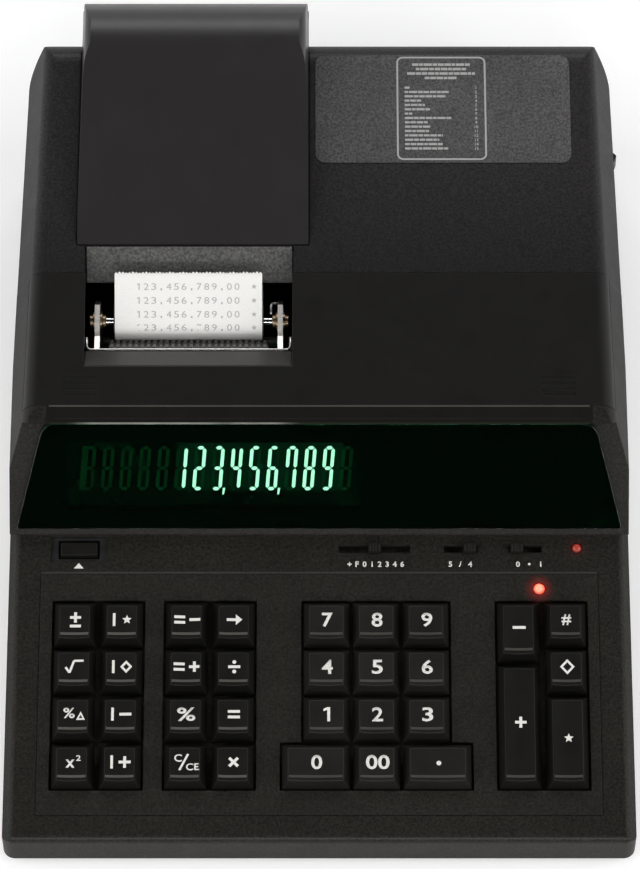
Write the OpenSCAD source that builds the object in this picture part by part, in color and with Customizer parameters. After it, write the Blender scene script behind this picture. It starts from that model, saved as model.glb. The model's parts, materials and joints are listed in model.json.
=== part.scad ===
// Desk printing calculator: a sloping keyboard deck, a slanted display window, a drum
// printer under a lift-off cover and a paper roll under a hinged cover at the back.
// Millimetres, +X right, +Y back, +Z up. The origin is on the table, under the middle
// of the overall box. Distances called t run back from the front face.

/* [Body] */
// Overall width at the foot of the side walls
body_w = 240; // [232:1:290]
// Overall depth, front face to paper cover hinge
body_d = 337; // [330:1:405]
// Height of the front lip above the table
lip_h = 20; // [18:0.5:26]
// Slope of the keyboard deck, degrees
deck_slope = 8; // [6:0.5:10]
// Lean of the side walls, degrees
side_draft = 0.6; // [0.3:0.1:2]
// Lean of the slanted edges along the deck, degrees
deck_lean = 40; // [30:1:50]
// How far in those edges start, from the side walls
deck_in = 5; // [3.5:0.5:7]
// Lean of the slanted sides above the deck, degrees
upper_lean = 25; // [18:1:32]
// How far in those sides start, from the side walls
upper_in = 13.5; // [11:0.5:15]
// How much the sides draw in towards the rear, degrees
side_taper = 1.3; // [0:0.1:2]
// Lean of the rear wall, degrees
rear_draft = 4.8; // [3:0.1:7]
// Thickness of the case walls
wall = 2.5; // [2:0.1:3.2]
// Thickness of the deck
deck_wall = 3; // [2.5:0.1:3.5]
// Height of the rubber feet
foot_h = 4; // [3:0.5:6]
// Radius of the rubber feet
foot_r = 8; // [6:0.5:10]
// Radius of the upper shoulders
shoulder_r = 7; // [4:0.5:9]
// Radius along the edges of the deck
deck_edge_r = 3; // [1.5:0.5:4]

/* [Display] */
// Front of the foot of the display window, behind the front face
lens_t = 122; // [118:0.5:126]
// Height of that foot above the deck
lens_lift = 4.4; // [3.5:0.1:6]
// Slope of the display window, degrees
lens_slope = 40; // [36:1:44]
// Length of the display window along its slope
lens_len = 41; // [36:0.5:46]
// Thickness of the display window
lens_thick = 3; // [2:0.5:4]
// Height of the number field along the slope
tube_h = 26; // [20:1:29]
// Width of the number field
tube_w = 113; // [90:1:140]
// Centre of the number field, right of the middle
tube_x = -40.5; // [-50:0.5:10]

/* [Keys] */
// Pitch of the number keys and of all rows
key_pitch = 19.05; // [18:0.05:20]
// Side to side pitch of the function keys
function_pitch = 18.1; // [17:0.05:19]
// Gap between two key skirts
key_gap = 1.25; // [1:0.05:2]
// Gap between a key skirt and its well
well_gap = 0.7; // [0.4:0.05:1]
// Height of the key tops above the deck
key_rise = 4.4; // [3.5:0.1:6]
// Travel of a key
key_travel = 3.5; // [2.5:0.1:3.8]
// Depth of the dish in a key top
key_dish = 0.5; // [0.2:0.1:0.8]
// Travel of the paper feed key
feed_travel = 1.8; // [1:0.1:2]

/* [Printer] */
// Width of the paper
paper_w = 57.5; // [50:0.5:60]
// Outer radius of the paper roll
roll_r = 34; // [25:1:36]
// Radius of the rubber platen
platen_r = 7; // [6:0.1:7.2]
// Radius over the type on the print drum
drum_r = 8.5; // [7:0.1:8.7]
// Radius of the ink roller
ink_r = 7; // [5:0.1:7.2]
// Radius of the drum and ink roller shafts
shaft_r = 2; // [1.5:0.1:2.5]
// Module of the printer gears
gear_module = 0.8; // [0.7:0.05:0.85]
// Teeth on the drum gear
drum_teeth = 24; // [20:1:26]
// Teeth on the motor pinion
pinion_teeth = 10; // [8:1:12]

/* [Mount] */
// Radius of the cord hole in the gland
cord_r = 3.6; // [3:0.1:4.5]

/* [Hidden] */
$fn = 48;
lap = 0.01;
running = 0.05;
clear = 0.3;
far = 600;
back = body_d;

// Keyboard layout: columns across and rows up the deck
group_f = -84.6;
group_m = -41.8;
group_n = 21.8;
group_r = 85.2;
row_front = 29.2;
half_f = function_pitch / 2;
base_n = key_pitch - key_gap;
base_f = function_pitch - key_gap - 0.65;
top_inset = 2.4;
wide_key = 25.9;
function row(n) = row_front + key_pitch * (4 - n);

// Each key: name, x, place up the deck, skirt width, skirt depth
function column_keys(names, x, w) =
    [for (i = [0 : len(names) - 1]) [names[i], x, row(i + 1), w, base_n]];
minus_d = key_pitch * 4 / 3 - key_gap;
plus_d = key_pitch * 8 / 3 - key_gap;
total_d = key_pitch * 2 - key_gap;
well_top = row(1) + key_pitch / 2;
well_bottom = row(4) - key_pitch / 2;
zero_x = group_n - key_pitch / 2 - key_gap / 2 - wide_key / 2;
point_x = group_n + key_pitch / 2 + key_gap / 2 + wide_key / 2;
KEYS = concat(
    column_keys(["key_f1", "key_f2", "key_f3", "key_f4"], group_f - half_f, base_f),
    column_keys(["key_m_total", "key_m_subtotal", "key_m_minus", "key_m_plus"], group_f + half_f, base_f),
    column_keys(["key_equals_minus", "key_equals_plus", "key_percent", "key_clear"],
        group_m - half_f, base_f),
    column_keys(["key_backspace", "key_divide", "key_equals", "key_multiply"], group_m + half_f, base_f),
    column_keys(["key_7", "key_4", "key_1"], group_n - key_pitch, base_n),
    column_keys(["key_8", "key_5", "key_2", "key_00"], group_n, base_n),
    column_keys(["key_9", "key_6", "key_3"], group_n + key_pitch, base_n),
    [["key_0", zero_x, row(4), wide_key, base_n]],
    [["key_point", point_x, row(4), wide_key, base_n]],
    [["key_minus", group_r - half_f, well_top - key_gap / 2 - minus_d / 2, base_f, minus_d]],
    [["key_plus", group_r - half_f, well_bottom + key_gap / 2 + plus_d / 2, base_f, plus_d]],
    column_keys(["key_ref", "key_subtotal"], group_r + half_f, base_f),
    [["key_total", group_r + half_f, well_bottom + key_gap / 2 + total_d / 2, base_f, total_d]]
);
// Wells: left, right, bottom, top
half_pair = half_f + base_f / 2 + well_gap;
half_three = key_pitch + base_n / 2 + well_gap;
well_up = well_top - key_gap / 2 + well_gap;
well_down = well_bottom + key_gap / 2 - well_gap;
WELLS = [
    [group_f - half_pair, group_f + half_pair, well_down, well_up],
    [group_m - half_pair, group_m + half_pair, well_down, well_up],
    [group_n - half_three, group_n + half_three, well_down, well_up],
    [zero_x - wide_key / 2 - well_gap, point_x + wide_key / 2 + well_gap, well_down,
        row(4) + base_n / 2 + well_gap],
    [group_r - half_pair, group_r + half_pair, well_down, well_up],
];

// Keyboard panel, board and what sits between them, in heights below the deck face
panel_thick = 1.6;
panel_half_w = 107.3;
panel_front = 9.8;
panel_back = 107;
panel_ledge = 2.5;
skirt_low = -3;
feed_low = skirt_low - 2;
stem = 5;
stem_low = skirt_low - 5.5;
socket = 11;
socket_high = skirt_low - key_travel - 1;
feed_socket_high = feed_low - feed_travel - 0.5;
board_high = stem_low - key_travel - 0.5;
board_thick = 1.6;
board_half_w = 105;
board_front = 15.5;
board_back = 121.5;
post_r = 2;
// Posts under the webs between the wells
POSTS = [for (x = [-63.1, -19.4, 62.9]) for (u = [24, 92]) [x, u]];

// Row of controls above the keyboard
control_u = 117.2;
slot_d = 2.9;
knob_w = 5;
knob_rise = 3.2;
slider_foot_low = -5.8;
slider_foot_w = 7;
slider_foot_d = 5;
// Each slider: name, left end of its slot, right end, left end of the knob at rest
SLIDERS = [
    ["decimal_slider", 7.5, 35.1, 18.9],
    ["rounding_slider", 48.2, 60.9, 55.6],
    ["total_slider", 73.4, 85.9, 73.7],
];
feed_x = -92.7;
feed_u = 117.2;
feed_w = 15.3;
feed_d = 7;
feed_rise = 1.4;
recess_w = 21.3;
recess_d = 10;
recess_deep = 1.2;
// Each lamp: x, place up the deck, radius
LAMPS = [[84.6, 100.9, 2.2], [99.4, 117.6, 1.9]];
lamp_sink = 1;
lamp_gap = 0.2;

// Side profile
function deck_z(t) = lip_h + t * tan(deck_slope);
function wall_x(z) = body_w / 2 - (z - foot_h) * tan(side_draft);
deck_flat = body_w / 2 - deck_in;
upper_flat = body_w / 2 - upper_in;
lens_foot = [lens_t, deck_z(lens_t) + lens_lift];
lens_dir = [cos(lens_slope), sin(lens_slope)];
lens_in = [sin(lens_slope), -cos(lens_slope)];
lens_foot_in = 3.4;
lens_head_in = 12.4;
// A point s along the display window from its foot and d behind its face
function lens_pt(s, d) = lens_foot + s * lens_dir + d * lens_in;
tube_lap = 1.5;
tube_thick = 6;
ledge_d = 7;
ledge_rise = 2.25;
lens_head = lens_pt(lens_len, 0);
ledge_front = lens_pt(lens_len + clear, 0);
cover_front = lens_head + [ledge_d, ledge_rise + 0.15];
cover_slope = 6;
cover_d = 56.5;
seam = cover_front + [cover_d, cover_d * tan(cover_slope)];
function cover_z(t) = cover_front[1] + (t - cover_front[0]) * tan(cover_slope);
rear_slope = 4;
function top_z(t) = seam[1] + (t - seam[0]) * tan(rear_slope);
rear_edge_r = 12;
rear_base_t = back - 6;
taper_t = 190;
rear_in = (rear_base_t - taper_t) * tan(side_taper);
function rear_t(z) = rear_base_t - (z - foot_h) * tan(rear_draft);
rear_mid = [rear_t(seam[1]) - rear_edge_r, top_z(back - 25) - rear_edge_r / cos(rear_slope)];
rear_plan_r = 16;
front_plan_r = 4.5;
side_lap = 4.5;
seam_gap = 0.4;
// Finger grips at both front corners of the lift-off cover
grip_x = 92.3;
grip_w = 12.6;
grip_front = 4;
grooves = 4;
groove_pitch = 2.4;
groove_w = 1.2;
groove_deep = 0.75;

// Paper cover, its hinge and the roll pocket behind it
pocket_x = [-94.6, -4.2];
hump_top_x = [-92.9, -5.2];
hump_front = seam[0] + 12;
hump_slope = 19.3;
hump_r = 25;
hinge_r = 2.5;
hinge_pin_r = 1.1;
hinge_t = back - hinge_r;
hump_back = back - 0.4;
hump_mid_t = hump_back - hump_r;
function hump_z(t) = top_z(hump_front - 1) + (t - hump_front + 1) * tan(hump_slope);
hump_mid = [hump_mid_t, hump_z(hump_mid_t) - hump_r / cos(hump_slope)];
hinge_z = hump_mid[1] + 5;
pocket_low = 36;
pocket_top = hinge_z - 2.4;
knuckle_w = 9;
knuckle_x = [pocket_x[0] + 8, pocket_x[1] - 8 - knuckle_w];
lid_drop = 2.5;
lid_thick = 2.5;
lid_gap = 0.5;
lid_edge_r = 5;
hinge_gap = 0.4;

// Printing mechanism, places in t and z
print_x = -51;
window_x = [-91, -10.5];
platen_at = seam - [11.4, 17.74];
drum_at = platen_at + [-15.5, -5.5];
ink_at = drum_at + [-14.8, 5.5];
roll_at = [back - 50, roll_r + 11];
core_r = 8;
platen_shaft_r = 1.5;
frame_thick = 2;
frame_x = [print_x - 36.6, print_x + 36.8];
frame_t = [drum_at[0] - 22, drum_at[0] + 24];
frame_floor = 16;
frame_top = platen_at[1] + 7.5;
journal = 1.5;
drum_half = 31;
gear_thick = 4;
gear_x = frame_x[1] + 2.2;
mesh_angle = 240;
mesh_gap = 0.1;
mesh_distance = gear_module * (drum_teeth + pinion_teeth) / 2 + mesh_gap;
pinion_at = drum_at + mesh_distance * [cos(mesh_angle), sin(mesh_angle)];
motor_r = 11;
motor_len = 28;
motor_shaft_r = 1;
motor_collar_r = 4;
motor_x = gear_x + gear_thick + 2.5;
paper_thick = 0.3;
paper_gap = 0.25;
paper_end = [seam[0] + 0.1, seam[1] - 0.8];
// Radii of the paper's path round the platen and the roll, and the angle where it leaves them
paper_near = platen_r + paper_gap;
paper_away = roll_r + paper_gap;
roll_span = roll_at - platen_at;
paper_under = atan2(roll_span[1], roll_span[0]) - acos((paper_near - paper_away) / norm(roll_span));
window_lip = [cover_front[0] + 16.5, cover_front[0] + 27.2];
window_lip_drop = 7.3;
tear_slope = 48;
tear_thick = 2.5;
tear_len = 14.5;

// Base plate, bosses and fasteners
pan_thick = 2.5;
pan_top = foot_h + pan_thick;
rim_top = pan_top + 4;
pan_gap = 0.4;
boss_r = 4;
screw_r = 1.5;
screw_head_r = 3;
screw_head_h = 1.6;
front_boss_t = 14;
rear_boss_t = back - 36;
front_boss_in = 10;
rear_boss_in = 16.5;
BOSSES = [for (s = [-1, 1]) each [[s * (body_w / 2 - front_boss_in), front_boss_t],
    [s * (body_w / 2 - rear_boss_in), rear_boss_t]]];
screw_bite = 7;
frame_post_r = 4;
frame_post_in = 8;
FRAME_POSTS = [for (x = [frame_x[0] + frame_post_in, frame_x[1] - frame_post_in])
    for (t = [platen_at[0] - 32, platen_at[0] + 4]) [x, t]];

// Main board and what stands on it, places behind its front edge
circuit_x = [6, 104];
circuit_t = [platen_at[0] - 10, back - 40];
circuit_z = 11;
circuit_thick = 1.6;
circuit_post_r = 3.5;
circuit_post_in = 6;
CIRCUIT_POSTS = [for (x = [circuit_x[0] + circuit_post_in, circuit_x[1] - circuit_post_in])
    for (t = [circuit_t[0] + circuit_post_in, circuit_t[1] - circuit_post_in]) [x, t]];
// Each block: left, right, front, back, height. A transformer's coil and core, then two chips
BLOCKS = [[38, 92, 46, 91, 38], [32, 98, 58, 79, 44], [50, 72, 14, 30, 3], [80, 92, 12, 32, 3.5]];
// Each capacitor: x, place, radius, height
CANS = [[20, 55, 6, 22], [20, 72, 6, 22], [22, 30, 4, 12], [34, 30, 4, 12]];

// Power switch on the right wall, and the cord gland in the rear wall
rocker_t = back - 47;
rocker_z = 36;
rocker_x = wall_x(rocker_z) - (rocker_t - taper_t) * tan(side_taper);
rocker_r = 9;
rocker_h = 8;
rocker_pivot = 4.2;
rocker_pin_r = 1;
rocker_gap = 0.25;
gland_x = 60;
gland_z = 24;
gland_r = 6;
gland_in = 6;
gland_out = 5.4;

// Frames and extrusions

module from_front() { translate([0, -body_d / 2, 0]) children(); }

// A flat shape in t and z, swept across the machine
module across(x0, x1) {
    translate([x0, 0, 0]) rotate([90, 0, 90]) linear_extrude(x1 - x0) children();
}

// A flat shape in x and z, swept from front to back
module along(t0, t1) {
    translate([0, t1, 0]) rotate([90, 0, 0]) linear_extrude(t1 - t0) children();
}

// The frame of the deck: x across, y up the slope from the lip, z off the deck face
module on_deck() {
    from_front() translate([0, 0, lip_h]) rotate([deck_slope, 0, 0]) children();
}

// A round bar across the machine
module bar(at, r, x0, x1) { across(x0, x1) translate(at) circle(r); }

module box_at(x, y, z) {
    translate([x[0], y[0], z[0]]) cube([x[1] - x[0], y[1] - y[0], z[1] - z[0]]);
}

function arc(mid, r, a0, a1, steps = 10) =
    [for (i = [0 : steps]) let (a = a0 + (a1 - a0) * i / steps) mid + r * [cos(a), sin(a)]];

// Outer form of the case

// A rounded corner between a side wall that draws in and the rear wall
module corner_outline(r) {
    skew = tan(rear_draft) * sin(side_draft);
    mid = [-r * (1 - sin(side_taper)) / cos(side_taper), -r];
    polygon(concat([[-far, -far], [far * tan(side_taper), -far]], arc(mid, r, side_taper, 90, 12),
        [[-far, far * skew]]));
}

// Everything inside one leaning side wall and the rear wall, or an inset of both
module wall_side(side, inset = 0) {
    low = -20;
    high = 140;
    half = body_w / 2;
    intersection() {
        translate([side * (half - rear_in), rear_base_t, foot_h])
            rotate([0, -side * side_draft, 0])
            rotate([rear_draft, 0, 0])
            mirror([side < 0 ? 1 : 0, 0, 0])
            translate([-inset, -inset, low]) linear_extrude(high - low) corner_outline(rear_plan_r - inset);
        translate([side * (half - inset), 0, foot_h])
            rotate([0, -side * side_draft, 0])
            box_at([side < 0 ? 0 : -far, side < 0 ? far : 0], [-far, far], [low, high]);
    }
}

module front_outline() {
    half = body_w / 2;
    for (s = [-1, 1]) translate([s * (half - front_plan_r), front_plan_r]) circle(front_plan_r);
    translate([-half, front_plan_r]) square([body_w, far]);
    translate([-half + front_plan_r, 0]) square([body_w - 2 * front_plan_r, far]);
}

module envelope() {
    intersection() {
        wall_side(1);
        wall_side(-1);
        linear_extrude(160) front_outline();
    }
}

// A long bar with a flat top, rounded upper edges and leaning sides, sloping up to the back
module shoulder_bar(flat, r, at, slope, lean, taper = 0) {
    reach = r / tan((90 + lean) / 2);
    low = 140;
    spread = flat + reach + low * tan(lean);
    half = concat([[spread, -low]], arc([flat, -r], r, lean, 90, 8), [[-far, 0], [-far, -low]]);
    translate([0, at[0], at[1]]) rotate([slope, 0, 0]) intersection() {
        rotate([0, 0, taper]) along(-far, far) polygon(half);
        mirror([1, 0, 0]) rotate([0, 0, taper]) along(-far, far) polygon(half);
    }
}

module deck_form() {
    edge = [deck_edge_r, deck_z(deck_edge_r) - deck_edge_r / cos(deck_slope)];
    end = lens_t + 30;
    intersection() {
        envelope();
        shoulder_bar(deck_flat, deck_edge_r, [0, lip_h], deck_slope, deck_lean);
        across(-far, far)
            polygon(concat([[0, foot_h]], arc(edge, deck_edge_r, 180, 90 + deck_slope, 6),
                [[end, deck_z(end)], [end, foot_h]]));
    }
}

module display_form() {
    start = lens_pt(-2.7, lens_thick);
    intersection() {
        envelope();
        shoulder_bar(upper_flat, shoulder_r, seam, cover_slope, upper_lean, side_taper);
        across(-far, far) polygon([[lens_t + 10, foot_h], [lens_t + 10, start[1] - 6], start,
            lens_pt(lens_len + clear, lens_thick), ledge_front, cover_front, seam, [seam[0], foot_h]]);
    }
}

module rear_form() {
    start = [seam[0] - lap, seam[1]];
    intersection() {
        envelope();
        shoulder_bar(upper_flat - 0.5, shoulder_r, seam, rear_slope, upper_lean, side_taper);
        across(-far, far) polygon(concat([[start[0], foot_h], start],
            arc(rear_mid, rear_edge_r, 90 + rear_slope, rear_draft), [[rear_base_t, foot_h]]));
    }
}

// The bulge behind the rear wall that gives the paper roll its room
module pocket_form(inset, open = 0) {
    low = pocket_low + inset;
    high = pocket_top + open;
    rear = hump_back - inset;
    front = back - 40;
    across(pocket_x[0] + inset, pocket_x[1] - inset)
        polygon([[front, low], [rear_t(pocket_low) - inset, low], [rear, pocket_top - 14], [rear, high],
            [front, high]]);
}

// Space inside the case walls
module cavity() {
    deck_drop = deck_wall / cos(deck_slope);
    knee = lens_pt(-3, lens_thick + wall);
    cover_drop = [0, wall / cos(cover_slope)];
    low = foot_h - 1;
    split = knee[0] - 1;
    inner_r = shoulder_r - wall;
    deck_inner_r = 0.5;
    function ceiling(t) = [t, deck_z(t) - deck_drop];
    intersection() {
        wall_side(1, wall);
        wall_side(-1, wall);
        union() {
            intersection() {
                shoulder_bar(deck_flat, deck_inner_r, [0, lip_h - deck_drop], deck_slope, deck_lean);
                across(-far, far) polygon([[wall, low], ceiling(wall) - [0, 1.5], ceiling(wall + 4),
                    ceiling(split), [split, low]]);
            }
            intersection() {
                shoulder_bar(upper_flat, inner_r, seam - cover_drop, cover_slope, upper_lean, side_taper);
                shoulder_bar(upper_flat - 0.5, inner_r, seam - cover_drop, rear_slope, upper_lean,
                    side_taper);
                across(-far, far) polygon([[split - lap, low], ceiling(split - lap), knee,
                    lens_pt(lens_len - 2, lens_thick + wall), cover_front - cover_drop, seam - cover_drop,
                    [rear_mid[0], top_z(rear_mid[0]) - wall], [rear_t(rear_mid[1]) - wall, rear_mid[1]],
                    [rear_base_t + 2, low]]);
            }
        }
    }
}

// Zone of the lift-off cover, shrunk by a gap at its ends and its lower edges
module cover_zone(gap) {
    low = side_lap - gap;
    across(-far, far) polygon([
        [cover_front[0] + gap, cover_front[1] - low], [cover_front[0] + gap, cover_front[1] + 20],
        [seam[0] - gap, seam[1] + 20], [seam[0] - gap, seam[1] - low]]);
}

// Keys

// A block that tapers from its skirt to its top, with a dish along the top
module key_cap(w, d, low, high, inset, dish) {
    top_w = w - 2 * inset;
    bend = (top_w * top_w / 4 + dish * dish) / (2 * dish);
    knee = low + 2;
    difference() {
        intersection() {
            along(-d, d)
                polygon([[-w / 2, low], [w / 2, low], [w / 2, knee], [top_w / 2, high],
                    [-top_w / 2, high], [-w / 2, knee]]);
            across(-w, w)
                polygon([[-d / 2, low], [d / 2, low], [d / 2, knee], [d / 2 - inset - 0.5, high],
                    [-d / 2 + inset - 0.3, high], [-d / 2, knee]]);
        }
        along(-d, d) translate([0, high - dish + bend]) circle(bend, $fn = 96);
    }
}

module key(k) {
    color([0.12, 0.115, 0.11]) on_deck() translate([k[1], k[2], 0]) {
        key_cap(k[3], k[4], skirt_low, key_rise, top_inset, key_dish);
        translate([-stem / 2, -stem / 2, stem_low]) cube([stem, stem, skirt_low - stem_low + lap]);
    }
}

module key_feed() {
    color([0.12, 0.115, 0.11]) on_deck() translate([feed_x, feed_u, 0]) {
        key_cap(feed_w, feed_d, feed_low, feed_rise, 0.8, 0.3);
        translate([-stem / 2, -stem / 2, stem_low]) cube([stem, stem, feed_low - stem_low + lap]);
    }
}

// A knob above the deck, a neck through its slot and a foot under the deck
module slider(s) {
    neck = slot_d / 2 - clear;
    knob_d = slot_d + 1;
    foot_high = -deck_wall - clear;
    groove = 0.15;
    groove_low = knob_rise - 0.6;
    color([0.12, 0.115, 0.11]) on_deck() translate([s[3] + knob_w / 2, control_u, 0]) {
        difference() {
            key_cap(knob_w, knob_d, 0.2, knob_rise, 0.5, 0.3);
            for (x = [-1.2, 0, 1.2])
                box_at([x - groove, x + groove], [-knob_d, knob_d], [groove_low, knob_rise + 1]);
        }
        box_at([-knob_w / 2, knob_w / 2], [-neck, neck], [foot_high - 0.1, clear]);
        box_at([-slider_foot_w / 2, slider_foot_w / 2], [-slider_foot_d / 2, slider_foot_d / 2],
            [slider_foot_low, foot_high]);
    }
}

// Case

module lamp_holes(grow, from, to) {
    for (l = LAMPS) translate([l[0], l[1], from]) cylinder(r = l[2] + grow, h = to - from);
}

module deck_cuts() {
    through = [-10, 10];
    open_w = panel_half_w - panel_ledge;
    feed_hole = [feed_w / 2 + clear, feed_d / 2 + clear];
    on_deck() {
        box_at([-panel_half_w, panel_half_w], [panel_front, panel_back], [-panel_thick, 10]);
        box_at([-open_w, open_w], [panel_front + panel_ledge, panel_back - panel_ledge], through);
        for (s = SLIDERS)
            box_at([s[1], s[2]], [control_u - slot_d / 2, control_u + slot_d / 2], through);
        translate([feed_x, feed_u, 0]) {
            box_at([-recess_w / 2, recess_w / 2], [-recess_d / 2, recess_d / 2], [-recess_deep, 10]);
            box_at([-feed_hole[0], feed_hole[0]], [-feed_hole[1], feed_hole[1]], through);
        }
        lamp_holes(lamp_gap, through[0], through[1]);
    }
}

// The window in the slanted front that shows the number tube
module tube_window(grow, from, to) {
    mid = lens_pt(lens_len / 2, 0);
    translate([tube_x, mid[0], mid[1]]) rotate([lens_slope, 0, 0])
        box_at([-tube_w / 2 - grow, tube_w / 2 + grow], [-tube_h / 2 - grow, tube_h / 2 + grow],
            [-to, -from]);
}

// Opening for the paper cover, the roll below it and the tear bar in front of it
module bay_cuts() {
    edge = 3;
    high = 140;
    seat = lid_drop + 0.2;
    step = back - 20;
    across(pocket_x[0] - clear, pocket_x[1] + clear)
        polygon([[hump_front, top_z(hump_front) - seat], [hump_front, high], [back + 5, high],
            [back + 5, pocket_top], [step, pocket_top], [step, top_z(step) - seat]]);
    box_at([pocket_x[0] + edge, pocket_x[1] - edge], [hump_front + edge, back - 28], [60, high]);
    box_at([window_x[0] - lid_gap, window_x[1] + lid_gap], [seam[0] - 1, hump_front + lap], [50, high]);
    bar([hinge_t, hinge_z], hinge_r + clear, pocket_x[0] - clear, pocket_x[1] + clear);
}

module hinge_knuckles() {
    web = 2.4;
    for (x = knuckle_x) difference() {
        union() {
            bar([hinge_t, hinge_z], hinge_r, x, x + knuckle_w);
            box_at([x, x + knuckle_w], [hinge_t - web, hinge_t], [pocket_top - 6, hinge_z]);
        }
        bar([hinge_t, hinge_z], hinge_pin_r + running, x - 1, x + knuckle_w + 1);
    }
}

// Shelves under the ends of the lift-off cover
module cover_shelves() {
    drop = wall / cos(cover_slope);
    front = cover_front - [0, drop];
    rear = seam - [0, drop];
    wide = 4;
    climb = wide * tan(cover_slope);
    thick = 2.5;
    end = upper_flat - 5;
    across(-end, end)
        polygon([front + [-5, -6], front + [-5, 1], front + [0, 1], front, front + [wide, climb],
            front + [wide, climb - thick]]);
    for (x = [[-end, window_x[0] - 4], [window_x[1] + 4, end]])
        across(x[0], x[1])
            polygon([rear - [wide, climb + thick], rear - [wide, climb], rear, rear + [0, 1],
                rear + [3, 1], rear + [3, -thick]]);
}

// Ledges that carry the two ends of the tear bar, hung from the top of the case
module tear_ledges() {
    hang = top_z(hump_front) - wall;
    end = tear_len - 1.5;
    under = tear_thick + 2;
    cheek = 2.5;
    for (x = [[window_x[0] - cheek, window_x[0] + 2], [window_x[1] - 2, window_x[1] + cheek]])
        across(x[0], x[1])
            polygon([tear_pt(3.2, tear_thick), tear_pt(end, tear_thick), tear_pt(end, under),
                tear_pt(3.2, under)]);
    for (x = [[window_x[0] - cheek, window_x[0] - lid_gap], [window_x[1] + lid_gap, window_x[1] + cheek]])
        across(x[0], x[1])
            polygon([tear_pt(end, under), [seam[0] + 0.5, hang], [seam[0] + 0.5, hang + 1],
                [hump_front - 0.2, hang + 1], [hump_front - 0.2, hang - 5]]);
}

module rocker_frame() {
    from_front() translate([rocker_x, rocker_t, rocker_z])
        rotate([0, -side_draft, side_taper]) children();
}

module rocker_ears() {
    ear = 2;
    low = rocker_h / 2 + rocker_gap;
    difference() {
        for (z = [-low - ear, low])
            box_at([-rocker_pivot - 3, -1], [-3.5, 3.5], [z, z + ear]);
        translate([-rocker_pivot, 0, -20]) cylinder(r = rocker_pin_r + running, h = 40);
    }
}

// Frame of the gland: z points straight out of the rear wall
module gland_frame() {
    from_front() translate([gland_x, rear_t(gland_z), gland_z])
        rotate([-90 + rear_draft, 0, 0]) children();
}

module case_bosses() {
    for (b = BOSSES) intersection() {
        translate([b[0], b[1], pan_top]) cylinder(r = boss_r, h = 120);
        union() {
            deck_form();
            rear_form();
        }
    }
}

// Openings for the power switch and the cord gland
module wall_cuts() {
    half_h = rocker_h / 2 + rocker_gap;
    rocker_frame() box_at([-5, 10], [-rocker_r - clear, rocker_r + clear], [-half_h, half_h]);
    gland_frame() translate([0, 0, -20]) cylinder(r = gland_r + running, h = 40);
}

module case_shell() {
    difference() {
        union() {
            deck_form();
            display_form();
            rear_form();
            pocket_form(0);
        }
        cavity();
        pocket_form(wall, 20);
        cover_zone(0);
        tube_window(0, 0, 20);
        bay_cuts();
    }
    case_bosses();
    cover_shelves();
    tear_ledges();
    hinge_knuckles();
}

module top_case() {
    color([0.16, 0.155, 0.15]) {
        difference() {
            from_front() case_shell();
            deck_cuts();
            wall_cuts();
            from_front() for (b = BOSSES)
                translate([b[0], b[1], pan_top - 1]) cylinder(r = screw_r + running, h = screw_bite + 2);
        }
        rocker_frame() rocker_ears();
    }
}

module pan_corner(inset) {
    translate([wall_x(rim_top) - rear_in - inset, rear_t(rim_top) - inset])
        corner_outline(rear_plan_r - inset);
}

// An upright slice of the space inside the walls, set in from where they are at the rim's top
module pan_slice(inset, low, high) {
    half = wall_x(rim_top) - inset;
    translate([0, 0, low]) linear_extrude(high - low) intersection() {
        pan_corner(inset);
        mirror([1, 0]) pan_corner(inset);
        translate([-half, inset]) square([2 * half, far]);
    }
}

module base_pan() {
    fit = wall + pan_gap;
    rim_fit = fit + 0.2;
    rim_thick = 2;
    low = pan_top - lap;
    color([0.13, 0.13, 0.13]) from_front() difference() {
        union() {
            pan_slice(fit, foot_h, pan_top);
            difference() {
                pan_slice(rim_fit, low, rim_top);
                pan_slice(rim_fit + rim_thick, 0, far);
                for (b = BOSSES) translate([b[0], b[1], 0]) cylinder(r = boss_r + 0.5, h = 60);
            }
            for (p = FRAME_POSTS)
                translate([p[0], p[1], low]) cylinder(r = frame_post_r, h = frame_floor - frame_thick - low);
            for (p = CIRCUIT_POSTS)
                translate([p[0], p[1], low]) cylinder(r = circuit_post_r, h = circuit_z - low);
            roll_cradle();
            motor_saddle();
        }
        for (b = BOSSES) translate([b[0], b[1], 0]) {
            cylinder(r = screw_r + 0.2, h = 20);
            cylinder(r = screw_head_r + 0.2, h = foot_h + screw_head_h);
        }
        for (p = FRAME_POSTS)
            translate([p[0], p[1], pan_top + 1]) cylinder(r = screw_r + running, h = 40);
    }
}

// Two ribs with hollows that the paper roll lies in
module roll_cradle() {
    reach = 15;
    front = min(reach, -paper_away * cos(paper_under) - 1.5);
    high = 12;
    rib = 4;
    for (x = [print_x - 24, print_x + 20]) across(x, x + rib) difference() {
        translate([roll_at[0] - front, pan_top - lap]) square([front + reach, high]);
        translate(roll_at) circle(roll_r + clear, $fn = 96);
    }
}

module motor_saddle() {
    half = 8;
    across(motor_x + 6, motor_x + 18) difference() {
        translate([pinion_at[0] - half, pan_top - lap]) square([2 * half, pinion_at[1] - pan_top]);
        translate(pinion_at) circle(motor_r + running);
    }
}

module keyboard_panel() {
    edge = 0.15;
    half_w = panel_half_w - edge;
    color([0.15, 0.145, 0.14]) on_deck() difference() {
        union() {
            box_at([-half_w, half_w], [panel_front + edge, panel_back - edge], [-panel_thick, edge]);
            for (p = POSTS)
                translate([p[0], p[1], board_high]) cylinder(r = post_r, h = -board_high - 0.5);
        }
        for (w = WELLS) box_at([w[0], w[1]], [w[2], w[3]], [-5, 5]);
        lamp_holes(lamp_gap, -5, 5);
    }
}

module switch_socket(x, u, high) {
    half = socket / 2;
    hole = stem / 2 + 0.2;
    translate([x, u, 0]) difference() {
        box_at([-half, half], [-half, half], [board_high - lap, high]);
        box_at([-hole, hole], [-hole, hole], [board_high, high + 1]);
    }
}

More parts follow.
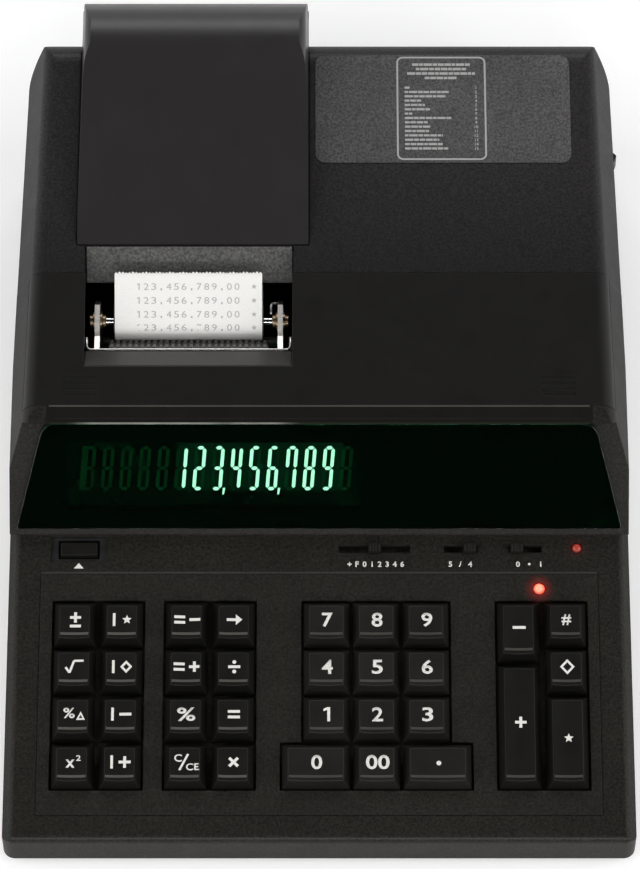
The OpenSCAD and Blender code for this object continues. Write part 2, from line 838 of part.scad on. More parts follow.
module keyboard_board() {
    color([0.13, 0.36, 0.2]) on_deck() {
        box_at([-board_half_w, board_half_w], [board_front, board_back],
            [board_high - board_thick, board_high]);
        for (k = KEYS) switch_socket(k[1], k[2], socket_high);
        switch_socket(feed_x, feed_u, feed_socket_high);
        for (s = SLIDERS)
            box_at([s[1] - 2, s[2] + 2], [control_u - 4, control_u + 4],
                [board_high - lap, slider_foot_low - 0.2]);
        for (l = LAMPS) translate([l[0], l[1], board_high - lap]) {
            cylinder(r = l[2], h = -board_high - lamp_sink);
            translate([0, 0, -board_high - lamp_sink]) sphere(r = l[2]);
        }
    }
}

// Covers

module grip_grooves() {
    for (s = [-1, 1]) for (i = [0 : grooves - 1]) {
        t = cover_front[0] + grip_front + groove_pitch * i;
        x = s * grip_x - grip_w / 2;
        box_at([x, x + grip_w], [t, t + groove_w], [cover_z(t) - groove_deep, far]);
    }
}

module printer_cover() {
    lip = [for (t = window_lip) [t, cover_z(t)]];
    lip_low = lip[1] - [0, window_lip_drop];
    color([0.13, 0.125, 0.125]) from_front() difference() {
        union() {
            difference() {
                intersection() {
                    display_form();
                    cover_zone(seam_gap / 2);
                }
                cavity();
                across(window_x[0], window_x[1])
                    polygon([lip[0], lip[0] + [0, 20], [far, 200], [far, 30], lip_low]);
            }
            across(window_x[0] - 1.5, window_x[1] + 1.5)
                polygon([lip[0], lip_low, lip_low - [1.1, 1.7], lip[0] - [2.6, 2.4]]);
        }
        grip_grooves();
    }
}

function hump_outline(inset) =
    let (t = hump_front + lid_gap + inset)
    concat([[t, hump_z(t) - inset / cos(hump_slope)]],
        arc(hump_mid, hump_r - inset, 90 + hump_slope, 12, 14));

// Cross section of the paper cover with rounded upper edges
module hump_section(inset) {
    r = lid_edge_r - inset;
    high = hump_mid[1] + hump_r - inset;
    low = top_z(hump_front) - lid_drop - 2 - inset;
    skirt = top_z(back - 40);
    left = pocket_x[0] + inset;
    right = pocket_x[1] - inset;
    bend_left = [hump_top_x[0] + inset + r, high - r];
    bend_right = [hump_top_x[1] - inset - r, high - r];
    polygon(concat([[left, low], [left, skirt]], arc(bend_left, r, 175, 90, 6),
        arc(bend_right, r, 90, 5, 6), [[right, skirt], [right, low]]));
}

module paper_cover() {
    front = hump_front + lid_gap;
    step = back - 21;
    heel = pocket_top + clear;
    outer = hump_outline(0);
    inner = hump_outline(lid_thick);
    outer_end = outer[len(outer) - 1][0];
    inner_end = inner[len(inner) - 1][0];
    bead_x = [knuckle_x[0] + knuckle_w + hinge_gap, knuckle_x[1] - hinge_gap];
    pin_reach = knuckle_w - 1;
    hinge_at = [hinge_t, hinge_z];
    color([0.13, 0.125, 0.125]) from_front() {
        difference() {
            intersection() {
                across(pocket_x[0], pocket_x[1])
                    polygon(concat([[front, top_z(front) - lid_drop]], outer,
                        [[outer_end, hinge_z], [hinge_t - hinge_r - 1, heel], [step, heel],
                         [step, top_z(step) - lid_drop]]));
                along(-far, far) hump_section(0);
            }
            intersection() {
                across(-far, far)
                    polygon(concat([[front + lid_thick, 40]], inner, [[inner_end, 40]]));
                along(-far, far) hump_section(lid_thick);
            }
            bar(hinge_at, hinge_r + hinge_gap, pocket_x[0] - 1, bead_x[0]);
            bar(hinge_at, hinge_r + hinge_gap, bead_x[1], pocket_x[1] + 1);
            for (x = knuckle_x)
                box_at([x - hinge_gap, x + knuckle_w + hinge_gap], [hinge_t - hinge_r - 2, back + 5],
                    [pocket_top - 5, hinge_z]);
        }
        bar(hinge_at, hinge_r, bead_x[0], bead_x[1]);
        bar(hinge_at, hinge_pin_r, bead_x[0] - pin_reach, bead_x[1] + pin_reach);
    }
}

// A point s down the face of the tear bar and d behind it
function tear_pt(s, d) = [hump_front - 0.2, top_z(hump_front) - clear]
    - s * [cos(tear_slope), sin(tear_slope)] + d * [sin(tear_slope), -cos(tear_slope)];

module tear_bar() {
    color([0.33, 0.33, 0.33]) from_front() across(window_x[0], window_x[1])
        polygon([tear_pt(0, 0), tear_pt(tear_len, 0), tear_pt(tear_len + 0.8, 1),
            tear_pt(tear_len, tear_thick), tear_pt(tear_thick * tan(tear_slope), tear_thick)]);
}

// Display

module display_lens() {
    foot_half = body_w / 2 - lens_foot_in;
    head_half = body_w / 2 - lens_head_in;
    r = 6;
    nick = 0.8;
    bend = [head_half - r, lens_len - r];
    foot = [[-foot_half, nick], [-foot_half + nick, 0], [foot_half - nick, 0], [foot_half, nick]];
    color([0.03, 0.1, 0.07]) from_front()
        translate([0, lens_foot[0], lens_foot[1]]) rotate([lens_slope, 0, 0])
        translate([0, 0, -lens_thick]) linear_extrude(lens_thick)
        polygon(concat(foot, arc(bend, r, 12, 90, 6), arc([-bend[0], bend[1]], r, 90, 168, 6)));
}

module display_tube() {
    front = lens_thick + wall;
    color([0.05, 0.12, 0.1]) from_front() tube_window(tube_lap, front, front + tube_thick);
}

// Electronics

module main_board() {
    top = circuit_z + circuit_thick;
    front = circuit_t[0];
    color([0.13, 0.36, 0.2]) from_front() {
        box_at(circuit_x, circuit_t, [circuit_z, top]);
        for (b = BLOCKS) box_at([b[0], b[1]], [front + b[2], front + b[3]], [top - lap, top + b[4]]);
        for (c = CANS) translate([c[0], front + c[1], top - lap]) cylinder(r = c[2], h = c[3]);
    }
}

// Printer

module frame_plate(x) {
    d = drum_at[0];
    low = frame_floor - frame_thick;
    outline = [[frame_t[0], low], [frame_t[1], low], [frame_t[1], frame_top - 6], [d + 18.5, frame_top],
        [d + 12.5, frame_top], [d + 7, frame_top - 4.5], [d - 6, frame_top - 3], [d - 12, frame_top],
        [d - 20, frame_top], [frame_t[0], frame_top - 2]];
    across(x, x + frame_thick) difference() {
        polygon(outline);
        translate(drum_at) circle(shaft_r + running);
        translate(ink_at) circle(shaft_r + running);
        translate(platen_at) circle(platen_shaft_r + running);
        translate([d + 10, drum_at[1] - 19]) circle(6);
    }
}

module printer_frame() {
    tie_r = 2;
    color([0.62, 0.63, 0.65]) from_front() difference() {
        union() {
            frame_plate(frame_x[0]);
            frame_plate(frame_x[1] - frame_thick);
            box_at(frame_x, frame_t, [frame_floor - frame_thick, frame_floor]);
            for (at = [drum_at + [-18, -24], drum_at + [21, -19]])
                bar(at, tie_r, frame_x[0] + 1, frame_x[1] - 1);
        }
        for (p = FRAME_POSTS) translate([p[0], p[1], 0]) cylinder(r = screw_r + 0.2, h = 40);
    }
}

module platen() {
    color([0.1, 0.1, 0.1]) from_front() {
        bar(platen_at, platen_r, print_x - paper_w / 2 - 0.5, print_x + paper_w / 2 + 0.5);
        bar(platen_at, platen_shaft_r, frame_x[0] - journal, frame_x[1] + journal);
    }
}

// A flat gear with straight-sided teeth, its first tooth at the given angle
module gear_outline(teeth, start) {
    pitch_r = gear_module * teeth / 2;
    root = pitch_r - 1.2 * gear_module;
    tip = pitch_r + 0.9 * gear_module;
    step = 360 / teeth;
    tooth = [[root, -0.3], [tip, -0.12], [tip, 0.12], [root, 0.3]];
    polygon([for (i = [0 : teeth - 1]) for (c = tooth)
        let (a = start + step * (i + c[1])) c[0] * [cos(a), sin(a)]]);
}

module type_drum() {
    columns = 26;
    pitch = 2 * drum_half / columns;
    ring_w = 1.5;
    ring_gap = 0.4;
    low = drum_r - 0.5;
    function ring(x) = [[low, x], [low, x + ring_gap], [drum_r, x + ring_gap],
        [drum_r, x + ring_gap + ring_w], [low, x + ring_gap + ring_w], [low, x + pitch]];
    rings = [for (i = [0 : columns - 1]) each ring(pitch * i)];
    color([0.35, 0.35, 0.36]) from_front() {
        translate([print_x - drum_half, drum_at[0], drum_at[1]]) rotate([0, 90, 0]) rotate_extrude()
            polygon(concat([[0, 0]], rings, [[0, 2 * drum_half]]));
        bar(drum_at, shaft_r, frame_x[0] - journal, gear_x + lap);
        across(gear_x, gear_x + gear_thick) translate(drum_at) gear_outline(drum_teeth, mesh_angle);
    }
}

module ink_roller() {
    color([0.1, 0.1, 0.12]) from_front() {
        bar(ink_at, ink_r, print_x - drum_half + 2, print_x + drum_half - 2);
        bar(ink_at, shaft_r, frame_x[0] - journal, frame_x[1] + journal);
    }
}

module printer_motor() {
    color([0.6, 0.6, 0.62]) from_front() difference() {
        union() {
            bar(pinion_at, motor_r, motor_x, motor_x + motor_len);
            bar(pinion_at, motor_collar_r, motor_x - 1.5, motor_x + motor_len + 2);
        }
        bar(pinion_at, motor_shaft_r + running, motor_x - 5, motor_x + 10);
    }
}

module motor_pinion() {
    color([0.75, 0.7, 0.55]) from_front() {
        across(gear_x, gear_x + gear_thick) translate(pinion_at)
            gear_outline(pinion_teeth, mesh_angle + 180 + 180 / pinion_teeth);
        bar(pinion_at, motor_shaft_r, gear_x + gear_thick - lap, motor_x + 9);
    }
}

module paper_roll() {
    color([0.95, 0.94, 0.9]) from_front()
        across(print_x - paper_w / 2, print_x + paper_w / 2) difference() {
            translate(roll_at) circle(roll_r, $fn = 96);
            translate(roll_at) circle(core_r);
        }
}

// The paper on its way from the roll, under the platen and up to the tear bar
module paper_strip() {
    under = paper_under;
    out_span = paper_end - platen_at;
    out = atan2(out_span[1], out_span[0]) + acos((paper_near + paper_thick) / norm(out_span));
    function face(d) = concat([roll_at + (paper_away + d) * [cos(under), sin(under)]],
        arc(platen_at, paper_near + d, 360 + under, out, 14),
        [paper_end + (d - paper_thick) * [cos(out), sin(out)]]);
    inner = face(0);
    outer = face(paper_thick);
    color([0.96, 0.95, 0.92]) from_front() across(print_x - paper_w / 2, print_x + paper_w / 2)
        polygon(concat(inner, [for (i = [len(outer) - 1 : -1 : 0]) outer[i]]));
}

// Small parts

module power_rocker() {
    pin_reach = 2;
    color([0.09, 0.09, 0.09]) rocker_frame() translate([-rocker_pivot, 0, 0]) {
        translate([0, 0, -rocker_h / 2]) linear_extrude(rocker_h) intersection() {
            circle(rocker_r);
            polygon([[-4, -6], [rocker_pivot + 0.6, -10], [rocker_pivot + 0.9, 0], [rocker_pivot + 4.2, 8],
                [0, 10], [-4, 5]]);
        }
        translate([0, 0, -rocker_h / 2 - pin_reach])
            cylinder(r = rocker_pin_r, h = rocker_h + 2 * pin_reach);
    }
}

module cord_gland() {
    color([0.08, 0.08, 0.08]) gland_frame() rotate_extrude()
        polygon([[cord_r, -gland_in], [gland_r, -gland_in], [gland_r, 0], [gland_r + 2, 0], [gland_r + 2, 2],
            [gland_r, 2.6], [gland_r - 0.8, gland_out], [cord_r, gland_out]]);
}

module feet() {
    inset = 22;
    color([0.07, 0.07, 0.07]) from_front()
        for (x = [-body_w / 2 + inset, body_w / 2 - inset]) for (t = [inset + 6, back - inset - 12])
            translate([x, t, 0]) rotate_extrude()
                polygon([[0, 0], [foot_r - 1, 0], [foot_r, 1], [foot_r, foot_h], [0, foot_h]]);
}

module screw(at, head_low, tip) {
    translate([at[0], at[1], head_low]) rotate_extrude()
        polygon([[0, 0.6], [0.8, 0], [screw_head_r, 0], [screw_head_r, screw_head_h],
            [screw_r, screw_head_h], [screw_r, tip - head_low], [0, tip - head_low]]);
}

module screws() {
    color([0.7, 0.7, 0.72]) from_front() {
        for (b = BOSSES) screw(b, foot_h, pan_top + screw_bite);
        for (p = FRAME_POSTS) translate([p[0], p[1], frame_floor + screw_head_h]) mirror([0, 0, 1])
            screw([0, 0], 0, screw_head_h + 6);
    }
}

for (k = KEYS) key(k);
key_feed();
for (s = SLIDERS) slider(s);
power_rocker();
top_case();
base_pan();
keyboard_panel();
keyboard_board();
printer_cover();
paper_cover();
tear_bar();
display_lens();
display_tube();
main_board();
printer_frame();
platen();
type_drum();
ink_roller();
printer_motor();
motor_pinion();
paper_roll();
paper_strip();
cord_gland();
feet();
screws();
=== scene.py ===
"""Desk printing calculator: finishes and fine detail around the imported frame."""
import json
import math

import bmesh
import bpy
from mathutils import Matrix, Vector


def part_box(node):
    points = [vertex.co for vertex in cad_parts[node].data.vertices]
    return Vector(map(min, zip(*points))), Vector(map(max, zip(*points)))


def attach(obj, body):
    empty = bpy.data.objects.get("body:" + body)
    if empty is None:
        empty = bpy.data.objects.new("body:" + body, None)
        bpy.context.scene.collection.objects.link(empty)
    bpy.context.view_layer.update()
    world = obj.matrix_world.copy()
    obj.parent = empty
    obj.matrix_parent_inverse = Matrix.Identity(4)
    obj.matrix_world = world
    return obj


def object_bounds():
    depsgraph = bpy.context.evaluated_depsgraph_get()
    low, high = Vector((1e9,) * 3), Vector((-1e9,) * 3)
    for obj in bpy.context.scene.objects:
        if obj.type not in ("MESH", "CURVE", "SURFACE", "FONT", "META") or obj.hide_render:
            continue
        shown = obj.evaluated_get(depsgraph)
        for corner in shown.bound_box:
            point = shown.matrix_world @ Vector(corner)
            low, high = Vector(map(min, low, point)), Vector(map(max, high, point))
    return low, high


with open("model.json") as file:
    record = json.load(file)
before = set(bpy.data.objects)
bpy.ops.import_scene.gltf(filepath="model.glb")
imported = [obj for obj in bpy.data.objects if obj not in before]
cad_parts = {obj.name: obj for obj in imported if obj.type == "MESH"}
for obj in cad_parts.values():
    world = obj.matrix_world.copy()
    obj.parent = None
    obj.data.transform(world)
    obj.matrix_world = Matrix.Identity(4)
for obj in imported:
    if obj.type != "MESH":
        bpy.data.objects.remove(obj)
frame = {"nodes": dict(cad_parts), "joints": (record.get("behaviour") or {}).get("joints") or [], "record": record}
cad_low, cad_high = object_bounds()
nodes = frame["nodes"]
joint_places = {j["name"]: Vector(j.get("pos_m", (0, 0, 0))) for j in frame["joints"]}

MM = 0.001
CASE = "case"

# Frames of the sloping surfaces: x to the right, y up the slope, z off the surface
DECK_SLOPE = math.radians(8)
LIP_HEIGHT = 20 * MM
LENS_SLOPE = math.radians(40)
LENS_THICK = 3 * MM
TUBE_DEPTH = 5.5
REAR_SLOPE = math.radians(4)
SEAM_GAP = 0.4 * MM


def sloping_frame(origin, slope):
    return Matrix.Translation(origin) @ Matrix.Rotation(slope, 4, "X")


lens_low, lens_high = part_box("display_lens")
cover_low, cover_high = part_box("printer_cover")
lens_foot = Vector((0, lens_low.y, lens_low.z + LENS_THICK * math.cos(LENS_SLOPE)))
seam = Vector((0, cover_high.y + SEAM_GAP / 2, cover_high.z))
DECK = sloping_frame((0, cad_low.y, LIP_HEIGHT), DECK_SLOPE)
LENS = sloping_frame(lens_foot, LENS_SLOPE)
REAR = sloping_frame(seam, REAR_SLOPE)


def on(surface, x, y, z=0.0):
    """A frame of the same slope, moved by millimetres along the surface and off it."""
    return surface @ Matrix.Translation(Vector((x, y, z)) * MM)


def points_in(surface, node):
    """A node's points in a sloping frame, in millimetres."""
    back = surface.inverted()
    return [back @ v.co / MM for v in nodes[node].data.vertices]


def box_in(surface, node):
    """Lowest and highest corner of a node in a sloping frame, in millimetres."""
    points = points_in(surface, node)
    low = [min(p[i] for p in points) for i in range(3)]
    high = [max(p[i] for p in points) for i in range(3)]
    return Vector(low), Vector(high)


# Building blocks of the materials

def new_material(name):
    made = bpy.data.materials.new(name)
    made.use_nodes = True
    return made, made.node_tree


def set_inputs(tree, node, inputs):
    """Links each input that comes from another node, and sets each one that is a plain value."""
    for key, value in inputs.items():
        if hasattr(value, "is_output"):
            tree.links.new(value, node.inputs[key])
        else:
            node.inputs[key].default_value = value


def shaded(material, inputs):
    """Gives a material's shader its inputs."""
    tree = material.node_tree
    set_inputs(tree, tree.nodes["Principled BSDF"], inputs)
    return material


def add_node(tree, kind, inputs, **settings):
    made = tree.nodes.new(kind)
    for key, value in settings.items():
        setattr(made, key, value)
    set_inputs(tree, made, inputs)
    return made


def object_place(tree):
    return add_node(tree, "ShaderNodeTexCoord", {}).outputs["Object"]


def parts_of(tree, place):
    return add_node(tree, "ShaderNodeSeparateXYZ", {0: place}).outputs


def math_step(tree, operation, first, second):
    return add_node(tree, "ShaderNodeMath", {0: first, 1: second}, operation=operation).outputs[0]


def vector_step(tree, operation, first, second=(0, 0, 0)):
    """Two outputs: a vector, and a value for the steps that end in one."""
    return add_node(tree, "ShaderNodeVectorMath", {0: first, 1: second}, operation=operation).outputs


def noise(tree, size_mm, detail=2.0, roughness=0.5, place=None):
    """Noise whose blobs are about size_mm across, from 0 to 1."""
    made = add_node(tree, "ShaderNodeTexNoise", {
        "Vector": place or object_place(tree), "Scale": 1 / (size_mm * MM),
        "Detail": detail, "Roughness": roughness})
    return made.outputs["Fac"]


def spread(tree, value, from_low, from_high, to_low, to_high):
    made = add_node(tree, "ShaderNodeMapRange", {
        "Value": value, "From Min": from_low, "From Max": from_high,
        "To Min": to_low, "To Max": to_high})
    return made.outputs["Result"]


def blend_colours(tree, share, first, second):
    first, second = [c if hasattr(c, "is_output") else (*c, 1) for c in (first, second)]
    return add_node(tree, "ShaderNodeMix", {0: share, 6: first, 7: second}, data_type="RGBA").outputs[2]


def multiply(tree, colour, factor):
    made = add_node(tree, "ShaderNodeMix", {0: 1, 6: colour, 7: factor}, data_type="RGBA",
                    blend_type="MULTIPLY")
    return made.outputs[2]


def bump(tree, height, depth_mm, strength=1.0, below=None):
    inputs = {"Height": height, "Distance": depth_mm * MM, "Strength": strength}
    if below is not None:
        inputs["Normal"] = below
    return add_node(tree, "ShaderNodeBump", inputs).outputs["Normal"]


def shades(colour, *factors):
    return [[c * f for c in colour] for f in factors]


def fade(tree, value, span, soft):
    """One inside a span and falling smoothly to nothing over a soft margin at both of its ends."""
    ends = []
    for edge, sign in ((span[0], -1), (span[1], 1)):
        part = spread(tree, value, edge, edge + sign * soft, 1, 0)
        part.node.interpolation_type = "SMOOTHSTEP"
        ends.append(part)
    return math_step(tree, "MULTIPLY", *ends)


# Materials

# How rough the thin gloss on moulded plastic is, and the run over which the case's painted shade and light change
# at the seam
COAT_ROUGH = 0.3
REAR_RUN = 45 * MM


def moulded_plastic(name, colour, rough, grain_mm, depth_mm, tone=0.12, gloss=0.15, soft_mm=0.0, speck=0.1,
                    rear=None, coat=0.0):
    """Moulded plastic with a fine grain, uneven tone, dust and rubbed patches.

    tone is how much the colour drifts over the part, speck how much it varies from grain to grain, soft_mm
    softens the edges, gloss is the shine of the bare plastic, rear is painted shade and light, the colour
    just behind the printer cover and at the far end, where it differs, and coat is a thin gloss that shows on
    steep walls.
    """
    made, tree = new_material(name)
    rubbed = spread(tree, noise(tree, 9, 5, 0.6), 0.35, 0.7, rough + 0.04, rough - 0.04)
    dust = spread(tree, noise(tree, 0.9, 3, 0.7), 0.66, 0.8, 0, 0.35)
    dark, light = shades(colour, 1 - tone, 1 + tone)
    toned = blend_colours(tree, spread(tree, noise(tree, 28, 4), 0.3, 0.7, 0, 1), dark, light)
    # Painted shade and light: darker round the seam, lighter towards the far end
    if rear:
        along = parts_of(tree, object_place(tree))[1]
        behind = blend_colours(tree, spread(tree, along, seam.y, seam.y + REAR_RUN, 0, 1), *rear)
        toned = blend_colours(tree, spread(tree, along, seam.y - REAR_RUN, seam.y, 0, 1), toned, behind)
    dusty = blend_colours(tree, dust, toned, [c * 1.25 + 0.004 for c in colour])
    grain = noise(tree, grain_mm, 2, 0.6)
    specked = multiply(tree, dusty, spread(tree, grain, 0.35, 0.65, 1 - speck, 1 + speck))
    edge = None
    if soft_mm:
        edge = add_node(tree, "ShaderNodeBevel", {"Radius": soft_mm * MM}, samples=4).outputs[0]
    waves = bump(tree, noise(tree, 14, 2), 0.03, 0.4, edge)
    return shaded(made, {
        "Base Color": specked, "Roughness": rubbed, "Normal": bump(tree, grain, depth_mm, 1, waves),
        "Specular IOR Level": gloss, "Coat Weight": coat, "Coat Roughness": COAT_ROUGH})


def brushed_metal(name, colour, rough, stretch=(1, 1, 1)):
    made, tree = new_material(name)
    place = add_node(tree, "ShaderNodeMapping", {"Vector": object_place(tree), "Scale": stretch}).outputs[0]
    lines = noise(tree, 0.25, 3, 0.6, place)
    stain = spread(tree, noise(tree, 6, 4, 0.6), 0.3, 0.75, 0, 1)
    return shaded(made, {
        "Base Color": blend_colours(tree, stain, *shades(colour, 1, 0.72)),
        "Roughness": spread(tree, lines, 0.2, 0.8, rough - 0.08, rough + 0.12),
        "Normal": bump(tree, lines, 0.01, 0.5), "Metallic": 1})


def rubber(name, colour):
    made, tree = new_material(name)
    bloom = spread(tree, noise(tree, 5, 5, 0.65), 0.4, 0.75, 0, 1)
    return shaded(made, {
        "Base Color": blend_colours(tree, bloom, colour, [c * 1.6 + 0.004 for c in colour]),
        "Roughness": spread(tree, bloom, 0, 1, 0.65, 0.85),
        "Normal": bump(tree, noise(tree, 0.4, 3), 0.03, 0.7)})


def roller_on_shaft(name, joint, shaft_mm, colour, rough, grain_mm, depth_mm):
    """A roller of one stuff on a polished steel shaft, told apart by the distance from the axis."""
    made, tree = new_material(name)
    offset = vector_step(tree, "SUBTRACT", object_place(tree), joint_places[joint])[0]
    flat = vector_step(tree, "MULTIPLY", offset, (0, 1, 1))[0]
    radius = vector_step(tree, "LENGTH", flat)[1]
    steel = math_step(tree, "LESS_THAN", radius, shaft_mm * MM)
    stuff = blend_colours(tree, noise(tree, 4, 4, 0.6), *shades(colour, 0.75, 1.3))
    return shaded(made, {
        "Base Color": blend_colours(tree, steel, stuff, (0.82, 0.82, 0.84)), "Metallic": steel,
        "Roughness": spread(tree, steel, 0, 1, rough, 0.16),
        "Normal": bump(tree, noise(tree, grain_mm, 2), depth_mm, 0.6)})


def bond_paper():
    made, tree = new_material("bond_paper")
    fibre = noise(tree, 0.6, 4, 0.7)
    tone = blend_colours(tree, spread(tree, fibre, 0.3, 0.7, 0, 1), (0.82, 0.81, 0.78), (0.90, 0.89, 0.86))
    return shaded(made, {"Base Color": tone, "Roughness": 0.8, "Normal": bump(tree, fibre, 0.02, 0.5)})


def green_acrylic():
    made, tree = new_material("green_acrylic")
    haze = noise(tree, 7, 5, 0.65)
    return shaded(made, {
        "Base Color": blend_colours(tree, noise(tree, 60, 2), (0.062, 0.29, 0.165), (0.070, 0.33, 0.185)),
        "Roughness": spread(tree, haze, 0.45, 0.8, 0.02, 0.06),
        "Transmission Weight": 1, "IOR": 1.49, "Specular IOR Level": 0.08})


# Where the glow behind the numbers lies on the window's slope, and how softly it ends
GLOW_X = (-53 * MM, 7 * MM)
GLOW_Y = (16 * MM, 32 * MM)
GLOW_SOFT = 3 * MM


def tube_glass():
    """Dark glass with a fine mesh behind it, and a soft glow round the lit numbers."""
    made, tree = new_material("tube_glass")
    flat = add_node(tree, "ShaderNodeMapping", {
        "Vector": object_place(tree), "Location": lens_foot, "Rotation": (LENS_SLOPE, 0, 0)},
        vector_type="TEXTURE").outputs[0]
    across, up, _ = parts_of(tree, flat)
    beside = fade(tree, across, GLOW_X, GLOW_SOFT)
    above = fade(tree, up, GLOW_Y, GLOW_SOFT)
    near = math_step(tree, "MULTIPLY", beside, above)
    mesh_lines = add_node(tree, "ShaderNodeTexWave", {"Vector": object_place(tree), "Scale": 160},
                          bands_direction="X").outputs["Fac"]
    return shaded(made, {
        "Base Color": blend_colours(tree, mesh_lines, (0.002, 0.006, 0.004), (0.004, 0.013, 0.009)),
        "Roughness": spread(tree, noise(tree, 9, 3), 0.3, 0.7, 0.18, 0.3),
        "Emission Color": (0.12, 1.0, 0.55, 1), "Emission Strength": spread(tree, near, 0, 1, 0, 0.03)})


# Painted highlight on the window's upper edge: the stretch that is pale, how softly that ends, and its colour
PAINTED_SHINE_SPAN = (-84 * MM, -20 * MM)
SHINE_SOFT = 14 * MM
PAINTED_SHINE_PALE = (0.24, 0.25, 0.22)


def window_edge_highlight():
    """The window's upper edge, paler over part of its length: a painted highlight."""
    made, tree = new_material("window_edge_highlight")
    bright = fade(tree, parts_of(tree, object_place(tree))[0], PAINTED_SHINE_SPAN, SHINE_SOFT)
    patches = spread(tree, noise(tree, 16, 3), 0.3, 0.7, 0, 1)
    patchy = blend_colours(tree, patches, *shades(PAINTED_SHINE_PALE, 0.4, 1.2))
    # Painted highlight: pale patches over one stretch, dark elsewhere
    tone = blend_colours(tree, bright, (0.012, 0.016, 0.009), patchy)
    return shaded(made, {"Base Color": tone, "Roughness": 0.3})


def lamp_lens(name, colour, middle, radius, core, rim):
    """Lit from within: core is the strength at the middle of the lens, rim at its edge. The dim lamp's bright
    middle is a painted highlight.
    """
    made, tree = new_material(name)
    away = vector_step(tree, "DISTANCE", object_place(tree), middle)[1]
    patches = spread(tree, noise(tree, 0.8, 2), 0.25, 0.75, -0.2 * radius, 0.2 * radius)
    uneven = math_step(tree, "ADD", away, patches)
    return shaded(made, {
        "Base Color": (*[c * 0.12 for c in colour], 1), "Roughness": 0.3, "Emission Color": (*colour, 1),
        "Emission Strength": spread(tree, uneven, 0.45 * radius, 1.2 * radius, core, rim)})


def painted_lamp_pool(material, middle, radius, reach, strength):
    """Painted light: red emission in the plastic round a lamp, in place of the light the lamp throws on it."""
    tree = material.node_tree
    away = vector_step(tree, "DISTANCE", object_place(tree), middle)[1]
    soft = math_step(tree, "POWER", spread(tree, away, radius, reach, 1, 0), 2)
    shaded(material, {
        "Emission Color": (1, 0.03, 0.02, 1), "Emission Strength": spread(tree, soft, 0, 1, 0, strength)})


def glowing(name, colour, strength, unevenness=0.25):
    made, tree = new_material(name)
    patches = spread(tree, noise(tree, 1.2, 3), 0.25, 0.75, strength * (1 - unevenness), strength)
    return shaded(made, {
        "Base Color": (*[c * 0.2 for c in colour], 1), "Roughness": 0.35,
        "Emission Color": (*colour, 1), "Emission Strength": patches})


def printed_ink(name, colour, worn=0.12, rough=0.5):
    made, tree = new_material(name)
    rub = spread(tree, noise(tree, 0.35, 4, 0.7), 0.5, 0.85, 0, worn * 3)
    return shaded(made, {
        "Base Color": blend_colours(tree, rub, *shades(colour, 1, 0.55)),
        "Roughness": spread(tree, noise(tree, 2, 3), 0.3, 0.7, rough - 0.08, rough + 0.08)})


def circuit_board():
    made, tree = new_material("circuit_board")
    tracks = add_node(tree, "ShaderNodeTexVoronoi", {"Vector": object_place(tree), "Scale": 350},
                      distance="CHEBYCHEV").outputs["Distance"]
    lines = spread(tree, tracks, 0.2, 0.5, 0, 1)
    return shaded(made, {
        "Base Color": blend_colours(tree, lines, (0.030, 0.026, 0.019), (0.060, 0.050, 0.036)),
        "Roughness": spread(tree, noise(tree, 3, 3), 0.3, 0.7, 0.3, 0.5)})


BLACK = (0.0064, 0.0060, 0.0054)
CHARCOAL = (0.0128, 0.0117, 0.0092)
finish = {
    # The case's rear colours are painted shade and light: darker at the printer cover's seam, lighter behind it
    "case": moulded_plastic("case_plastic", CHARCOAL, 0.56, 0.9, 0.11, soft_mm=1.3, speck=0.5,
                            rear=((0.0088, 0.0079, 0.0080), (0.0160, 0.0148, 0.0150)), gloss=0.1, coat=0.16),
    "base": moulded_plastic("base_plastic", (0.012, 0.012, 0.012), 0.6, 0.6, 0.06),
    "panel": moulded_plastic("panel_plastic", CHARCOAL, 0.55, 0.9, 0.11, soft_mm=0.4, speck=0.45),
    "cover": moulded_plastic("cover_plastic", (0.0053, 0.0047, 0.0043), 0.45, 0.3, 0.02, 0.06, coat=0.2),
    "lid": moulded_plastic("lid_plastic", (0.0205, 0.0187, 0.0190), 0.42, 0.3, 0.02, 0.06, coat=0.33),
    "key": moulded_plastic("key_plastic", BLACK, 0.46, 0.22, 0.012),
    "worn_key": moulded_plastic("worn_key_plastic", (0.0122, 0.0115, 0.0102), 0.42, 0.22, 0.010, 0.2),
    "slider": moulded_plastic("slider_plastic", CHARCOAL, 0.5, 0.25, 0.012),
    "rocker": moulded_plastic("rocker_plastic", (0.007, 0.007, 0.007), 0.38, 0.3, 0.01),
    "tear_bar": moulded_plastic("tear_bar_plastic", (0.088, 0.087, 0.085), 0.62, 1.0, 0.14, speck=0.4),
    "board": circuit_board(),
    "lens": green_acrylic(),
    "tube": tube_glass(),
    "steel": brushed_metal("sheet_steel", (0.6, 0.58, 0.54), 0.3, (1, 1, 4)),
    "platen_rubber": roller_on_shaft("platen", "platen_spin", 2.5, (0.014, 0.013, 0.013), 0.6, 0.3, 0.02),
    "drum": roller_on_shaft("type_wheels", "type_drum_spin", 2.5, (0.014, 0.013, 0.012), 0.45, 0.4, 0.01),
    "ink": roller_on_shaft("ink_foam", "ink_roller_spin", 2.5, (0.006, 0.006, 0.01), 0.85, 0.5, 0.1),
    "motor": brushed_metal("motor_can", (0.5, 0.5, 0.5), 0.35, (4, 1, 1)),
    "brass": brushed_metal("brass", (0.75, 0.58, 0.3), 0.25),
    "paper": bond_paper(),
    "gland": rubber("gland_rubber", (0.01, 0.01, 0.01)),
    "foot_rubber": rubber("foot_rubber", (0.008, 0.008, 0.008)),
    "screw": brushed_metal("zinc_screw", (0.62, 0.62, 0.6), 0.28),
}
legend_ink = printed_ink("legend_ink", (0.74, 0.73, 0.69))
print_ink = printed_ink("print_ink", (0.46, 0.45, 0.45), 0.3, 0.8)
label_ink = printed_ink("label_ink", (0.36, 0.36, 0.355), 0.25)
